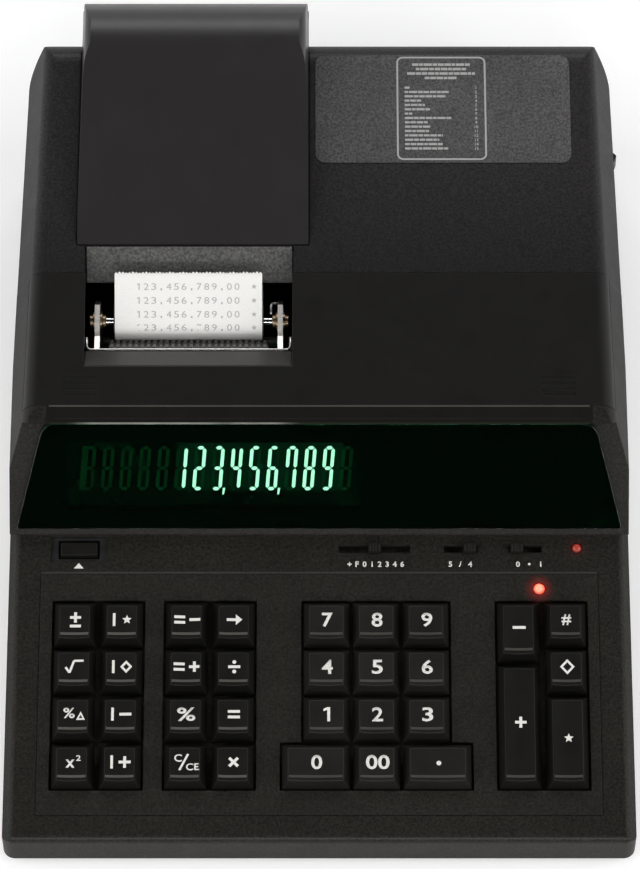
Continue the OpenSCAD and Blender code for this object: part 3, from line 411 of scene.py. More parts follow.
label_plastic = moulded_plastic("label_plastic", (0.070, 0.068, 0.069), 0.62, 0.9, 0.10, speck=0.4)
# Painted light: the paler strip on the window's sloping front edge
painted_lip_light = moulded_plastic("painted_lip_light", (0.042, 0.0405, 0.037), 0.45, 0.4, 0.02, coat=0.2)
type_metal = printed_ink("type_metal", (0.075, 0.072, 0.066), 0.3)
well_shade = rubber("well_shade", (0.002, 0.002, 0.002))
digit_glow = glowing("digit_glow", (1.0, 0.52, 0.60), 9.0)
ghost_glow = glowing("ghost_glow", (0.30, 1.0, 0.62), 0.014, 0.7)
# Painted highlights: pale ridges on the key tops, with a dimmer copy for the keys on the right and the bead by the
# printer cover
rubbed_edge = moulded_plastic("rubbed_edge", (0.078, 0.075, 0.069), 0.35, 0.3, 0.01)
dim_painted_highlight = moulded_plastic("dim_painted_highlight", (0.050, 0.049, 0.044), 0.4, 0.3, 0.01)
painted_bead_highlight = moulded_plastic("painted_bead_highlight", (0.036, 0.0335, 0.0305), 0.5, 0.5, 0.03)
plated = brushed_metal("plated_steel", (0.8, 0.79, 0.77), 0.3)
bronze = brushed_metal("bronze_bush", (0.40, 0.30, 0.19), 0.35)


# Finishes and rounded edges on the frame's own nodes

EDGE_MM = {"cover": 0.5, "key": 0.45, "slider": 0.25, "rocker": 0.5, "lens": 0.25, "tear_bar": 0.3}
NUMBER_KEYS = (*"0123456789", "00", "point")
OTHER_FINISH = {"key_" + name: "worn_key" for name in NUMBER_KEYS} | {"paper_cover": "lid"}


def round_edges(thing, width_mm):
    """Joins the faces that were split for shading, merges flat ones and rounds the edges that are left."""
    thing.modifiers.new("join", "WELD").merge_threshold = 0.002 * MM
    flatten = thing.modifiers.new("flatten", "DECIMATE")
    flatten.decimate_type = "DISSOLVE"
    flatten.angle_limit = math.radians(0.6)
    rounded = thing.modifiers.new("round", "BEVEL")
    rounded.width = width_mm * MM
    rounded.segments = 3
    rounded.limit_method = "ANGLE"
    rounded.angle_limit = math.radians(28)
    rounded.miter_outer = "MITER_ARC"
    thing.modifiers.new("shade", "WEIGHTED_NORMAL").weight = 50


for part in frame["record"]["subparts"]:
    name, slot = part["node"], part["material_slot"]
    nodes[name].data.materials.clear()
    nodes[name].data.materials.append(finish[OTHER_FINISH.get(name, slot)])
    if slot in EDGE_MM:
        round_edges(nodes[name], EDGE_MM[slot])


# Flat shapes that are printed, inlaid or lit

def piece(name, mesh, place, material, body):
    """Makes a piece from a bmesh in millimetres, set in its place, which rides on a body."""
    shape = bpy.data.meshes.new(name)
    mesh.to_mesh(shape)
    mesh.free()
    shape.transform(place @ Matrix.Scale(MM, 4))
    shape.materials.append(material)
    made = bpy.data.objects.new(name, shape)
    bpy.context.scene.collection.objects.link(made)
    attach(made, body)


def skin(mesh, rings):
    """Faces between each ring of points and the next."""
    for here, after in zip(rings, rings[1:]):
        for i in range(len(here)):
            j = (i + 1) % len(here)
            mesh.faces.new((here[i], here[j], after[j], after[i]))


def curve_mesh(curve):
    """The mesh of a curve or of letters. The curve itself is removed."""
    holder = bpy.data.objects.new("holder", curve)
    bpy.context.scene.collection.objects.link(holder)
    view = bpy.context.evaluated_depsgraph_get()
    mesh = bpy.data.meshes.new_from_object(holder.evaluated_get(view))
    bpy.data.objects.remove(holder)
    bpy.data.curves.remove(curve)
    return mesh


def text_mesh(words, bold):
    """Letters of height about one, as a flat mesh."""
    curve = bpy.data.curves.new("letters", "FONT")
    curve.body = words
    curve.offset = bold
    curve.resolution_u = 4
    return curve_mesh(curve)


class Print:
    """Flat shapes in millimetres, laid on a surface with a hair of thickness."""

    def __init__(self):
        self.mesh = bmesh.new()

    def polygon(self, points):
        self.mesh.faces.new([self.mesh.verts.new((p[0], p[1], 0)) for p in points])

    def stroke(self, x0, y0, x1, y1, width):
        along = Vector((x1 - x0, y1 - y0)).normalized() * width / 2
        side = Vector((-along.y, along.x))
        start, end = Vector((x0, y0)), Vector((x1, y1))
        self.polygon([start + side, start - side, end - side, end + side])

    def ring(self, outer, inner):
        """The strip between two outlines with the same number of points."""
        count = len(outer)
        for i in range(count):
            j = (i + 1) % count
            self.polygon([outer[i], outer[j], inner[j], inner[i]])

    def text(self, words, x, y, height, width=None, bold=0.02):
        mesh = text_mesh(words, bold)
        xs = [v.co.x for v in mesh.vertices]
        ys = [v.co.y for v in mesh.vertices]
        tall = height / (max(ys) - min(ys))
        wide = width / (max(xs) - min(xs)) if width else tall
        middle = Vector(((max(xs) + min(xs)) / 2, (max(ys) + min(ys)) / 2, 0))
        place = Matrix.Translation((x, y, 0)) @ Matrix.Diagonal((wide, tall, 1, 1))
        mesh.transform(place @ Matrix.Translation(-middle))
        self.mesh.from_mesh(mesh)
        bpy.data.meshes.remove(mesh)

    def lean(self, angle):
        for vert in self.mesh.verts:
            vert.co.x += vert.co.y * math.tan(angle)

    def lay(self, name, body, surface, material, thick=0.05, sink=0.02, height=None):
        """Thickens the shapes, follows the surface's own height and makes the piece."""
        bmesh.ops.remove_doubles(self.mesh, verts=self.mesh.verts, dist=0.002)
        bmesh.ops.dissolve_degenerate(self.mesh, edges=self.mesh.edges, dist=0.002)
        grown = bmesh.ops.extrude_face_region(self.mesh, geom=list(self.mesh.faces))
        raised = {v for v in grown["geom"] if isinstance(v, bmesh.types.BMVert)}
        for vert in self.mesh.verts:
            vert.co.z = thick if vert in raised else -sink
            if height:
                vert.co.z += height(vert.co.x, vert.co.y)
        bmesh.ops.recalc_face_normals(self.mesh, faces=self.mesh.faces)
        piece(name, self.mesh, surface, material, body)


def circle_points(x, y, radius, count=24):
    turns = [2 * math.pi * i / count for i in range(count)]
    return [(x + radius * math.cos(a), y + radius * math.sin(a)) for a in turns]


def star_points(x, y, radius, points=5, waist=0.45):
    made = []
    for i in range(2 * points):
        reach = radius if i % 2 == 0 else radius * waist
        a = math.pi / 2 + math.pi * i / points
        made.append((x + reach * math.cos(a), y + reach * math.sin(a)))
    return made


def rounded_box(x0, y0, x1, y1, radius, steps=6):
    made = []
    corners = ((x1 - radius, y0 + radius, -90), (x1 - radius, y1 - radius, 0),
               (x0 + radius, y1 - radius, 90), (x0 + radius, y0 + radius, 180))
    for cx, cy, start in corners:
        for i in range(steps + 1):
            a = math.radians(start + 90 * i / steps)
            made.append((cx + radius * math.cos(a), cy + radius * math.sin(a)))
    return made


# Key legends

STROKE = 1.1
LEGEND_HIGH = 5.7


def plus(sheet, x, y, size=4.6):
    sheet.stroke(x - size / 2, y, x - STROKE / 2, y, STROKE)
    sheet.stroke(x + STROKE / 2, y, x + size / 2, y, STROKE)
    sheet.stroke(x, y - size / 2, x, y + size / 2, STROKE)


def minus(sheet, x, y, size=4.6):
    sheet.stroke(x - size / 2, y, x + size / 2, y, STROKE)


def equals(sheet, x, y, size=4.6):
    for up in (-1.1, 1.1):
        minus(sheet, x, y + up, size)


def one(sheet, x, y):
    top = y + LEGEND_HIGH / 2
    sheet.stroke(x + 0.5, y - LEGEND_HIGH / 2, x + 0.5, top, STROKE)
    sheet.polygon([(x - 0.06, top), (x - 1.5, top - 0.75), (x - 1.5, top - 1.65), (x - 0.06, top - 1.1)])


def divide(sheet, x, y, size=4.6):
    minus(sheet, x, y, size)
    for up in (-1.9, 1.9):
        sheet.polygon(circle_points(x, y + up, 0.75, 16))


def times(sheet, x, y, size=3.3):
    reach = size / 2
    gap = STROKE / 2 / math.sqrt(2)
    sheet.stroke(x - reach, y - reach, x + reach, y + reach, STROKE)
    sheet.stroke(x - reach, y + reach, x - gap, y + gap, STROKE)
    sheet.stroke(x + gap, y - gap, x + reach, y - reach, STROKE)


def diamond(sheet, x, y, size=5.6, hollow=0.6):
    """hollow is the share of the sign that its middle leaves open."""
    corners = ((1, 0), (0, 1), (-1, 0), (0, -1))
    outer = [(x + dx * size / 2, y + dy * size * 0.55) for dx, dy in corners]
    inner = [(x + (px - x) * hollow, y + (py - y) * hollow) for px, py in outer]
    sheet.ring(outer, inner)


def small_diamond(sheet, x, y):
    diamond(sheet, x, y, 4.6, 0.5)


def triangle(sheet, x, y, size=3.4):
    outer = [(x - size / 2, y - size / 2), (x + size / 2, y - size / 2), (x, y + size / 2)]
    middle = Vector((x, y - size / 6))
    inner = [tuple(middle + (Vector(p) - middle) * 0.42) for p in outer]
    sheet.ring(outer, inner)


def arrow(sheet, x, y, size=6.0):
    head = x + size / 2
    sheet.stroke(x - size / 2, y, head - 2.5, y, STROKE)
    sheet.polygon([(head - 2.5, y - 2.1), (head, y), (head - 2.5, y + 2.1)])


def star(sheet, x, y):
    sheet.polygon(star_points(x, y, 1.9))


def root(sheet, x, y):
    points = [(x - 3.4, y - 0.2), (x - 1.9, y - 2.4), (x - 0.2, y + 2.4), (x + 3.4, y + 2.4)]
    for (ax, ay), (bx, by) in zip(points, points[1:]):
        sheet.stroke(ax, ay, bx, by, 0.85)


def after_bar(sheet, sign):
    sheet.stroke(-3.3, -2.6, -3.3, 2.6, 1.0)
    sign(sheet, 1.6, 0)


def after_equals(sheet, sign):
    equals(sheet, -2.9, 0, 4.2)
    sign(sheet, 2.9, 0, 4.2)


def change_sign(sheet, x, y):
    plus(sheet, x, y + 0.9, 4.2)
    minus(sheet, x, y - 2.6, 4.2)


def clear_all_or_entry(sheet, x, y):
    sheet.text("C", x - 2.9, y + 1.6, 3.0, 2.9)
    sheet.stroke(x - 2.4, y - 3.2, x + 0.9, y + 3.2, 0.8)
    sheet.text("CE", x + 2.6, y - 1.9, 2.8, 5.0)


def percent_change(sheet, x, y):
    sheet.text("%", x - 1.7, y + 0.5, 4.2, 4.4, 0.016)
    triangle(sheet, x + 2.7, y - 0.6)


def square(sheet, x, y):
    sheet.text("x", x - 0.9, y - 0.6, 3.3, 3.5)
    sheet.text("2", x + 2.2, y + 1.6, 2.3, 1.8)


SIGNS = {
    "f1": change_sign, "f2": root, "f3": percent_change, "f4": square,
    "m_total": lambda s, x, y: after_bar(s, star),
    "m_subtotal": lambda s, x, y: after_bar(s, small_diamond),
    "m_minus": lambda s, x, y: after_bar(s, minus),
    "m_plus": lambda s, x, y: after_bar(s, plus),
    "equals_minus": lambda s, x, y: after_equals(s, minus),
    "equals_plus": lambda s, x, y: after_equals(s, plus),
    "percent": lambda s, x, y: s.text("%", x, y, 5.4, 7.0, 0.018),
    "clear": clear_all_or_entry, "backspace": arrow, "divide": divide, "equals": equals, "multiply": times,
    "minus": lambda s, x, y: minus(s, x, y, 5.0),
    "plus": lambda s, x, y: plus(s, x, y, 4.4),
    "point": lambda s, x, y: s.polygon(circle_points(x, y - 0.4, 0.9)),
    "ref": lambda s, x, y: s.text("#", x, y, 4.4),
    "subtotal": diamond, "total": star, "1": one,
    "00": lambda s, x, y: s.text("00", x, y, LEGEND_HIGH, 9.0),
}

# The top of a key: how far it lies inside the key's foot, how deep its dish is, and where its sign stands
KEY_INSET = 2.4
KEY_DISH = 0.5
LEGEND_SHIFT = (0.35, 0.5)
NUMBER_WIDE = 4.2
# The pale ridge, a painted highlight of the top's front edge: its distance from the top's front and sides, its
# size, and the place right of which the painted highlight is dimmer
EDGE_BACK = 1.8
EDGE_INSET = 0.3
EDGE_WIDE = 1.0
EDGE_HIGH = 0.12
EDGE_STEPS = 10
DIMMER_HIGHLIGHT_FROM = -20


def top_front(key, bed):
    """Where the top of a key ends towards the front. bed is the lowest line of its dish."""
    return min(p.y for p in points_in(DECK, key) if p.z > bed - 0.1)


def make_legend(key):
    """One key's sign and the pale ridge in front of it, a painted highlight of the top's front edge, which follow
    the dish of its top.
    """
    sign = key[len("key_"):]
    low, high = box_in(DECK, key)
    middle = (low + high) / 2
    bed = high.z - KEY_DISH
    half = (high.x - low.x) / 2 - KEY_INSET
    bend = (half * half + KEY_DISH * KEY_DISH) / (2 * KEY_DISH)

    def dish(x, y):
        return bend - math.sqrt(bend * bend - x * x)

    sheet = Print()
    if sign in SIGNS:
        SIGNS[sign](sheet, 0, 0)
    else:
        sheet.text(sign, 0, 0, LEGEND_HIGH, NUMBER_WIDE)
    place = on(DECK, middle.x + LEGEND_SHIFT[0], middle.y + LEGEND_SHIFT[1], bed)
    sheet.lay("legend_" + sign, key, place, legend_ink, height=dish)
    edge = Print()
    reach = half - EDGE_INSET
    stops = [reach * (2 * i / EDGE_STEPS - 1) for i in range(EDGE_STEPS + 1)]
    for x0, x1 in zip(stops, stops[1:]):
        edge.stroke(x0, 0, x1, 0, EDGE_WIDE)
    place = on(DECK, middle.x, top_front(key, bed) + EDGE_BACK, bed)
    # Painted highlight: brighter on the keys to the left, dimmer on those to the right
    material = rubbed_edge if middle.x < DIMMER_HIGHLIGHT_FROM else dim_painted_highlight
    edge.lay("edge_" + sign, key, place, material, EDGE_HIGH, height=dish)


for key in [n for n in nodes if n.startswith("key_") and n != "key_feed"]:
    make_legend(key)


# Legends beside the sliders and the feed key, the panel's bead, painted shade in the feed key's recess and the two
# lamps

# Recess of the feed key: middle on the deck, width, depth along the deck, how deep, and the hole in its floor
FEED = (-92.7, 117.2)
RECESS = (21.2, 9.9, 1.2)
FEED_HOLE = (15.9, 7.6)

# Keyboard panel: half its width, where it ends on the deck, and the width of the bead behind it, whose pale colour
# is a painted highlight
PANEL_HALF = 107.0
PANEL_BACK = 107.1
PANEL_BEAD = 0.7

# Marks of the decimal slider with the first one's place and their pitch, then the other sliders' marks
CONTROL_LEGEND_U = 111.0
DECIMAL_MARKS = ("+F012346", 11.7, 2.9)
OTHER_MARKS = (("5", 50.6), ("/", 54.4), ("4", 58.2), ("0", 76.6), ("1", 85.4))
MARK_HIGH = 2.3
PLUS_HIGH = 1.7
# Place and radius of the dot, then the feed key's arrow: width, height and drop under the marks' middle
DOT = (81, 0.5)
FEED_ARROW = (3.8, 2.2)
ARROW_DROP = 1.8


def make_control_legends():
    sheet = Print()
    row, first, pitch = DECIMAL_MARKS
    marks = [(mark, first + pitch * i) for i, mark in enumerate(row)]
    for mark, x in (*marks, *OTHER_MARKS):
        sheet.text(mark, x, CONTROL_LEGEND_U, PLUS_HIGH if mark == "+" else MARK_HIGH, None, 0.03)
    sheet.polygon(circle_points(DOT[0], CONTROL_LEGEND_U, DOT[1], 12))
    wide, high = FEED_ARROW
    foot = CONTROL_LEGEND_U - ARROW_DROP
    sheet.polygon([(FEED[0] - wide / 2, foot), (FEED[0] + wide / 2, foot), (FEED[0], foot + high)])
    sheet.lay("control_legends", CASE, DECK, legend_ink)


# Each lamp: name, place on the deck, radius, strength in the middle and at the edge, strength of the red light
# painted on the plastic
# The dim lamp's bright middle is a painted highlight
LAMPS = (("lamp_lit", 84.6, 100.9, 2.3, 5.0, 0.2, 0.15), ("lamp_dim", 99.4, 117.6, 2.0, 0.3, 0.02, 0.015))
LAMP_RED = (1.0, 0.10, 0.06)
# Reach of the red light painted on the plastic round a lamp, then the lens: its centre off the deck, its stem and
# its sides
POOL = 7.0
LAMP_CENTRE = -1.0
LAMP_STEM = 2.5
LAMP_SIDES = 28


def make_lamp(name, x, u, radius, core, rim, pool):
    """A round-topped lens on a short straight stem."""
    mesh = bmesh.new()
    outline = [(radius, -LAMP_STEM), (radius, 0.0)]
    for angle in range(15, 90, 15):
        outline.append((radius * math.cos(math.radians(angle)), radius * math.sin(math.radians(angle))))
    rings = []
    for r, z in outline:
        rings.append([mesh.verts.new((px, py, z)) for px, py in circle_points(0, 0, r, LAMP_SIDES)])
    skin(mesh, rings)
    tip = mesh.verts.new((0, 0, radius))
    for i in range(LAMP_SIDES):
        mesh.faces.new((rings[-1][i], rings[-1][(i + 1) % LAMP_SIDES], tip))
    mesh.faces.new(list(reversed(rings[0])))
    for face in mesh.faces:
        face.smooth = len(face.verts) < 5
    top = on(DECK, x, u, LAMP_CENTRE + radius).translation
    lens = lamp_lens(name, LAMP_RED, top, radius * MM, core, rim)
    piece(name, mesh, on(DECK, x, u, LAMP_CENTRE), lens, CASE)
    # Red light painted on the panel or case round the lamp
    around = finish["panel" if u < PANEL_BACK else "case"]
    painted_lamp_pool(around, on(DECK, x, u).translation, 0.8 * radius * MM, POOL * MM, pool)


def make_panel_bead():
    """The edge of the deck behind the keyboard panel, with a painted highlight along it."""
    up = PANEL_BACK + PANEL_BEAD / 2
    sheet = Print()
    sheet.stroke(-PANEL_HALF, up, PANEL_HALF, up, PANEL_BEAD)
    sheet.lay("panel_bead", CASE, DECK, painted_bead_highlight, 0.08)


def box_points(x, y, wide, deep):
    return [(x + sx * wide / 2, y + sy * deep / 2) for sx, sy in ((-1, -1), (1, -1), (1, 1), (-1, 1))]


def make_feed_recess_shade():
    """A dark sheet on the floor of the recess round the feed key: painted shade."""
    sheet = Print()
    sheet.ring(box_points(*FEED, *RECESS[:2]), box_points(*FEED, *FEED_HOLE))
    sheet.lay("feed_recess_shade", CASE, on(DECK, 0, 0, -RECESS[2]), well_shade, 0.15)


make_control_legends()
make_panel_bead()
make_feed_recess_shade()
for lamp in LAMPS:
    make_lamp(*lamp)


# Lit numbers on the tube

DIGIT_W = 4.3
DIGIT_H = 17.3
DIGIT_STROKE = 1.3
SEGMENT_GAP = 0.22
DIGIT_PITCH = 7.08
DIGIT_LEAN = math.radians(4.8)
DIGIT_FOOT = 14.4
FIRST_DIGIT = -56.2
LIT = "123456789"
COMMA_AFTER = (2, 5)
# Corners of a comma, from the lower left corner of the number before it
COMMA = ((4.75, 0.9), (5.7, 0.9), (5.35, -1.6), (4.75, -1.6))
# Places to the left and right of the lit ones, then the place and width of the bar at the far left
UNLIT_PLACES = (-5, -4, -3, -2, -1, 9)
UNLIT_BAR = (-91.6, 2.2)
SEGMENTS = {"1": "bc", "2": "abged", "3": "abgcd", "4": "fgbc", "5": "afgcd", "6": "afgecd",
            "7": "fabc", "8": "abcdefg", "9": "abcdfg"}


def segment(sheet, name, x, y):
    """One bar of a seven bar number whose lower left corner is x, y."""
    w, h, s = DIGIT_W, DIGIT_H, DIGIT_STROKE
    left, right, low, mid, high = x + s / 2, x + w - s / 2, y + s / 2, y + h / 2, y + h - s / 2
    ends = {"a": (left, high, right, high), "g": (left, mid, right, mid), "d": (left, low, right, low),
            "f": (left, mid, left, high), "b": (right, mid, right, high),
            "e": (left, low, left, mid), "c": (right, low, right, mid)}
    x0, y0, x1, y1 = ends[name]
    along = Vector((x1 - x0, y1 - y0)).normalized()
    side = Vector((-along.y, along.x)) * s / 2
    start, end = Vector((x0, y0)) + along * SEGMENT_GAP, Vector((x1, y1)) - along * SEGMENT_GAP
    tip = along * s / 2
    sheet.polygon([start, start + tip + side, end - tip + side, end, end - tip - side, start + tip - side])


def make_numbers():
    lit, ghost = Print(), Print()
    for i, number in enumerate(LIT):
        x = FIRST_DIGIT + DIGIT_PITCH * i
        for name in "abcdefg":
            segment(lit if name in SEGMENTS[number] else ghost, name, x, 0)
        if i in COMMA_AFTER:
            lit.polygon([(x + px, py) for px, py in COMMA])
    for i in UNLIT_PLACES:
        for name in "abcdefg":
            segment(ghost, name, FIRST_DIGIT + DIGIT_PITCH * i, 0)
    bar, wide = UNLIT_BAR
    ghost.stroke(bar, 0, bar, DIGIT_H, wide)
    for sheet, name, material in ((lit, "lit_numbers", digit_glow), (ghost, "unlit_numbers", ghost_glow)):
        sheet.lean(DIGIT_LEAN)
        sheet.lay(name, CASE, on(LENS, 0, DIGIT_FOOT, -TUBE_DEPTH), material, 0.08)


make_numbers()


# Painted shade between the window and the printer cover: a dark sheet over that strip of the case

COVER_SLOPE = math.radians(6)
# Half the dark sheet's width and its distance from the window and the cover, then the two lines along it, which
# are painted highlights
SHADE_SHEET_HALF = 105.0
SHADE_SHEET_EDGE = 0.35
BEAD_EDGE = 0.4
LINE_WIDE = 0.7
LINE_INSET = 1


def cover_top(y):
    """Height of the printer cover's plane at a place along the machine."""
    return seam.z + (y - seam.y) * math.tan(COVER_SLOPE)


def make_brow_shade():
    rise = lens_high.z - lens_foot.z
    foot = Vector((0, lens_foot.y + rise / math.tan(LENS_SLOPE), lens_high.z))
    head = Vector((0, cover_low.y, cover_top(cover_low.y)))
    run = head - foot
    long = run.length / MM
    sheet = Print()
    sheet.polygon([(-SHADE_SHEET_HALF, SHADE_SHEET_EDGE), (SHADE_SHEET_HALF, SHADE_SHEET_EDGE),
                   (SHADE_SHEET_HALF, long - SHADE_SHEET_EDGE), (-SHADE_SHEET_HALF, long - SHADE_SHEET_EDGE)])
    place = sloping_frame(foot, math.atan2(run.z, run.y))
    # Painted shade: a sheet of the dark cover plastic that darkens this strip of the case
    sheet.lay("brow_shade_sheet", CASE, place, finish["cover"], 0.15, 0.05)
    for name, up, material in (("window_edge_highlight", SHADE_SHEET_EDGE, window_edge_highlight()),
                               ("brow_bead_highlight", long - BEAD_EDGE, dim_painted_highlight)):
        line = Print()
        line.stroke(LINE_INSET - SHADE_SHEET_HALF, up, SHADE_SHEET_HALF - LINE_INSET, up, LINE_WIDE)
        line.lay(name, CASE, place, material, 0.25, -0.1)


# Finger grips: middle and width, first groove from the cover's edge, pitch, width and count of the grooves
GRIP = (92.3, 12.4)
GROOVES = (3.9, 2.4, 1.0, 4)


def make_grip_strips():
    """Soft strips that nearly fill the grooves of the finger grips."""
    middle, wide = GRIP
    first, pitch, across, count = GROOVES
    sheet = Print()
    for side in (-1, 1):
        for i in range(count):
            y = (first + pitch * i + across / 2) / math.cos(COVER_SLOPE)
            sheet.stroke(side * middle - wide / 2, y, side * middle + wide / 2, y, across)
    place = sloping_frame((0, cover_low.y, cover_top(cover_low.y)), COVER_SLOPE)
    sheet.lay("grip_strips", "printer_cover", place, finish["cover"], -0.15, 0.6)


make_brow_shade()
make_grip_strips()


# Label plate on the rear top, with a plain table

# Corners on the rear top: left, front, right and back
PLATE = (-1.5, 49.0, 99.5, 98.0)
TABLE = (30.7, 50.1, 66.2, 97.2)
PLATE_ROUND = 4.0
PLATE_THICK = 0.35
TABLE_ROUND = 2.6
TABLE_LINE = 0.7

WORDS = (2.6, 1.4, 3.3, 1.9, 2.2)
WORD_GAP = 0.3
# Lengths of the lines, the first one's distance from the table's top, their pitch and their height
HEADING = (23, 20, 27, 13)
HEADING_TOP = 3.6
HEADING_PITCH = 2.05
HEADING_HIGH = 1.1
ROWS = (2, 17.5, 16.5, 6.5, 8, 10, 3, 19, 9, 10, 9.5, 15, 13.5, 15, 17)
ROWS_TOP = 14.2
ROWS_PITCH = 1.98
ROWS_HIGH = 0.95
ROWS_INSET = 3.2
COUNT_INSET = 4.0
COUNT_HIGH = 1.3


def ruled_words(sheet, x, y, length, height, start=0):
    """A line of plain bars, as long as words."""
    end = x + length
    turn = start
    while x < end - WORD_GAP:
        wide = min(WORDS[turn % len(WORDS)], end - x)
        sheet.stroke(x, y, x + wide, y, height)
        x += wide + WORD_GAP
        turn += 1


def make_label():
    plate = Print()
    plate.polygon(rounded_box(*PLATE, PLATE_ROUND))
    plate.lay("label_plate", CASE, REAR, label_plastic, PLATE_THICK, 0.05)
    table = Print()
    x0, y0, x1, y1 = TABLE
    within = (x0 + TABLE_LINE, y0 + TABLE_LINE, x1 - TABLE_LINE, y1 - TABLE_LINE)
    table.ring(rounded_box(*TABLE, TABLE_ROUND), rounded_box(*within, TABLE_ROUND - TABLE_LINE))
    middle = (x0 + x1) / 2
    for row, wide in enumerate(HEADING):
        y = y1 - HEADING_TOP - HEADING_PITCH * row
        ruled_words(table, middle - wide / 2, y, wide, HEADING_HIGH, row)
    for row, wide in enumerate(ROWS):
        y = y1 - ROWS_TOP - ROWS_PITCH * row
        ruled_words(table, x0 + ROWS_INSET, y, wide, ROWS_HIGH, row)
        table.text(str(row + 1), x1 - COUNT_INSET, y, COUNT_HIGH)
    table.lay("label_table", CASE, on(REAR, 0, 0, PLATE_THICK), label_ink)


make_label()


# Paper, print and the small works in the printer's window

# Middle of the printer across the machine, and the radius at which the paper lies on the platen
PRINT_X = -51.0
PAPER_R = 7.55

platen = joint_places["platen_spin"]
paper_top = max((v.co for v in nodes["paper_strip"].data.vertices), key=lambda p: p.z)
paper_reach = Vector((paper_top.y - platen.y, paper_top.z - platen.z)) / MM
paper_run = math.sqrt(paper_reach.length ** 2 - PAPER_R ** 2)
paper_leaves = math.atan2(paper_reach.y, paper_reach.x) + math.acos(PAPER_R / paper_reach.length)


def paper_frame(along):
    """The paper's face, so many millimetres above the line where it leaves the platen."""
    turn = paper_leaves - min(along, 0) / PAPER_R
    start = platen + Vector((0, math.cos(turn), math.sin(turn))) * PAPER_R * MM
    start.x = PRINT_X * MM
    return on(sloping_frame(start, turn - math.pi / 2), 0, max(along, 0))


# Printed lines: their places along the paper, their words, the first mark's place and the pitch
PRINTED_AT = (13.9, 8.5, 3.1, -2.1)
PRINTED = "123,456,789.00"
FIRST_MARK = -19.4
MARK_PITCH = 2.95
STAR_X = 25.6


def paper_curl(x, y):
    """How far the paper falls away from a flat frame where it lies round the platen."""
    return -y * y / (2 * PAPER_R)


def make_print():
    for row, along in enumerate(PRINTED_AT):
        sheet = Print()
        for i, mark in enumerate(PRINTED):
            x = FIRST_MARK + MARK_PITCH * i
            if mark in ",.":
                sheet.stroke(x, -1.5, x, -0.6, 0.6)
            elif mark == "1":
                sheet.stroke(x + 0.2, -1.3, x + 0.2, 1.3, 0.45)
                sheet.stroke(x - 0.6, 0.75, x - 0.03, 1.1, 0.4)
            else:
                sheet.text(mark, x, 0, 2.6, 1.9, 0.0)
        sheet.polygon(star_points(STAR_X, 0, 1.1))
        curl = paper_curl if along < 0 else None
        sheet.lay("printed_line_%d" % (row + 1), CASE, paper_frame(along), print_ink, 0.03, height=curl)


DRUM_COLUMNS = 26
DRUM_HALF = 31.0
DRUM_R = 8.5
TYPE_ROWS = 14
# A block of type: foot and height, how deep it sits, and the share of its foot that its top has
TYPE_SIZE = (1.2, 1.9, 0.5)
TYPE_SINK = 0.05
TYPE_TOP = 0.85
SMALL_TOP = 0.7
# Where the first block stands: millimetres from the drum's end, and its turn
TYPE_START = (1.15, 0.13)


def make_type():
    """Raised type round every wheel of the drum."""
    mesh = bmesh.new()
    pitch = 2 * DRUM_HALF / DRUM_COLUMNS
    axis = joint_places["type_drum_spin"]
    wide, deep, high = TYPE_SIZE
    for column in range(DRUM_COLUMNS):
        x = PRINT_X - DRUM_HALF + pitch * column + TYPE_START[0]
        for row in range(TYPE_ROWS):
            turn = 2 * math.pi * row / TYPE_ROWS + TYPE_START[1]
            block = bmesh.ops.create_cube(mesh, size=1)["verts"]
            top = TYPE_TOP if (column + row) % 3 else SMALL_TOP
            for v in block:
                narrow = top if v.co.z > 0 else 1.0
                z = v.co.z * high + DRUM_R - TYPE_SINK
                v.co = Vector((v.co.x * wide * narrow, v.co.y * deep * narrow, z))
            spin = Matrix.Rotation(turn, 4, "X")
            bmesh.ops.transform(mesh, matrix=Matrix.Translation((x, 0, 0)) @ spin, verts=block)
    piece("drum_type", mesh, Matrix.Translation((0, axis.y, axis.z)), type_metal, "type_drum")


PAPER_HALF = 28.75
PAPER_THICK = 0.3
# Teeth of the torn edge: pitch, mean height, how much that varies, and the ends of the strip under them
TEAR_PITCH = 1.3
TEAR_HIGH = 0.6
TEAR_SWING = 0.25
TEAR_STRIP = (-0.15, 0.05)


def make_torn_edge():
    """The ragged end of the paper, where it was torn off."""
    sheet = Print()
    count = round(2 * PAPER_HALF / TEAR_PITCH)
    step = 2 * PAPER_HALF / count
    low, high = TEAR_STRIP
    outline = [(-PAPER_HALF, low), (PAPER_HALF, low)]
    for i in range(count):
        x = PAPER_HALF - step * i
        outline += [(x, high), (x - step * 0.55, TEAR_HIGH + TEAR_SWING * math.sin(1.7 * i))]
    sheet.polygon(outline + [(-PAPER_HALF, high)])
    sheet.lay("torn_edge", CASE, paper_frame(paper_run), finish["paper"], 0.0, PAPER_THICK * 0.8)


def turned(name, outline, y, z, material, body, sides=32):
    """A ring turned about an axis across the machine. outline holds pairs of x and radius."""
    mesh = bmesh.new()
    rings = []
    for x, radius in outline:
        rings.append([mesh.verts.new((x, py, pz)) for py, pz in circle_points(0, 0, radius, sides)])
    skin(mesh, rings + rings[:1])
    bmesh.ops.recalc_face_normals(mesh, faces=mesh.faces)
    piece(name, mesh, Matrix.Translation((0, y, z)), material, body)


# Faces of the two frame plates across the machine, and the way each one looks
PLATE_FACES = ((-85.6, 1), (-87.6, -1), (-16.2, -1), (-14.2, 1))
# Section of a bush: distance from the plate, radius
BUSH = ((0, 1.65), (0, 3.5), (0.7, 3.5), (0.9, 3.3), (0.9, 2.5), (2.0, 2.5), (2.2, 2.3), (2.2, 1.65))


def make_bushes():
    """Flanged bushes on both faces of the two frame plates, round the platen's shaft."""
    for i, (face, way) in enumerate(PLATE_FACES):
        outline = [(face + way * x, radius) for x, radius in BUSH]
        turned("platen_bush_%d" % (i + 1), outline, platen.y, platen.z, bronze, CASE)


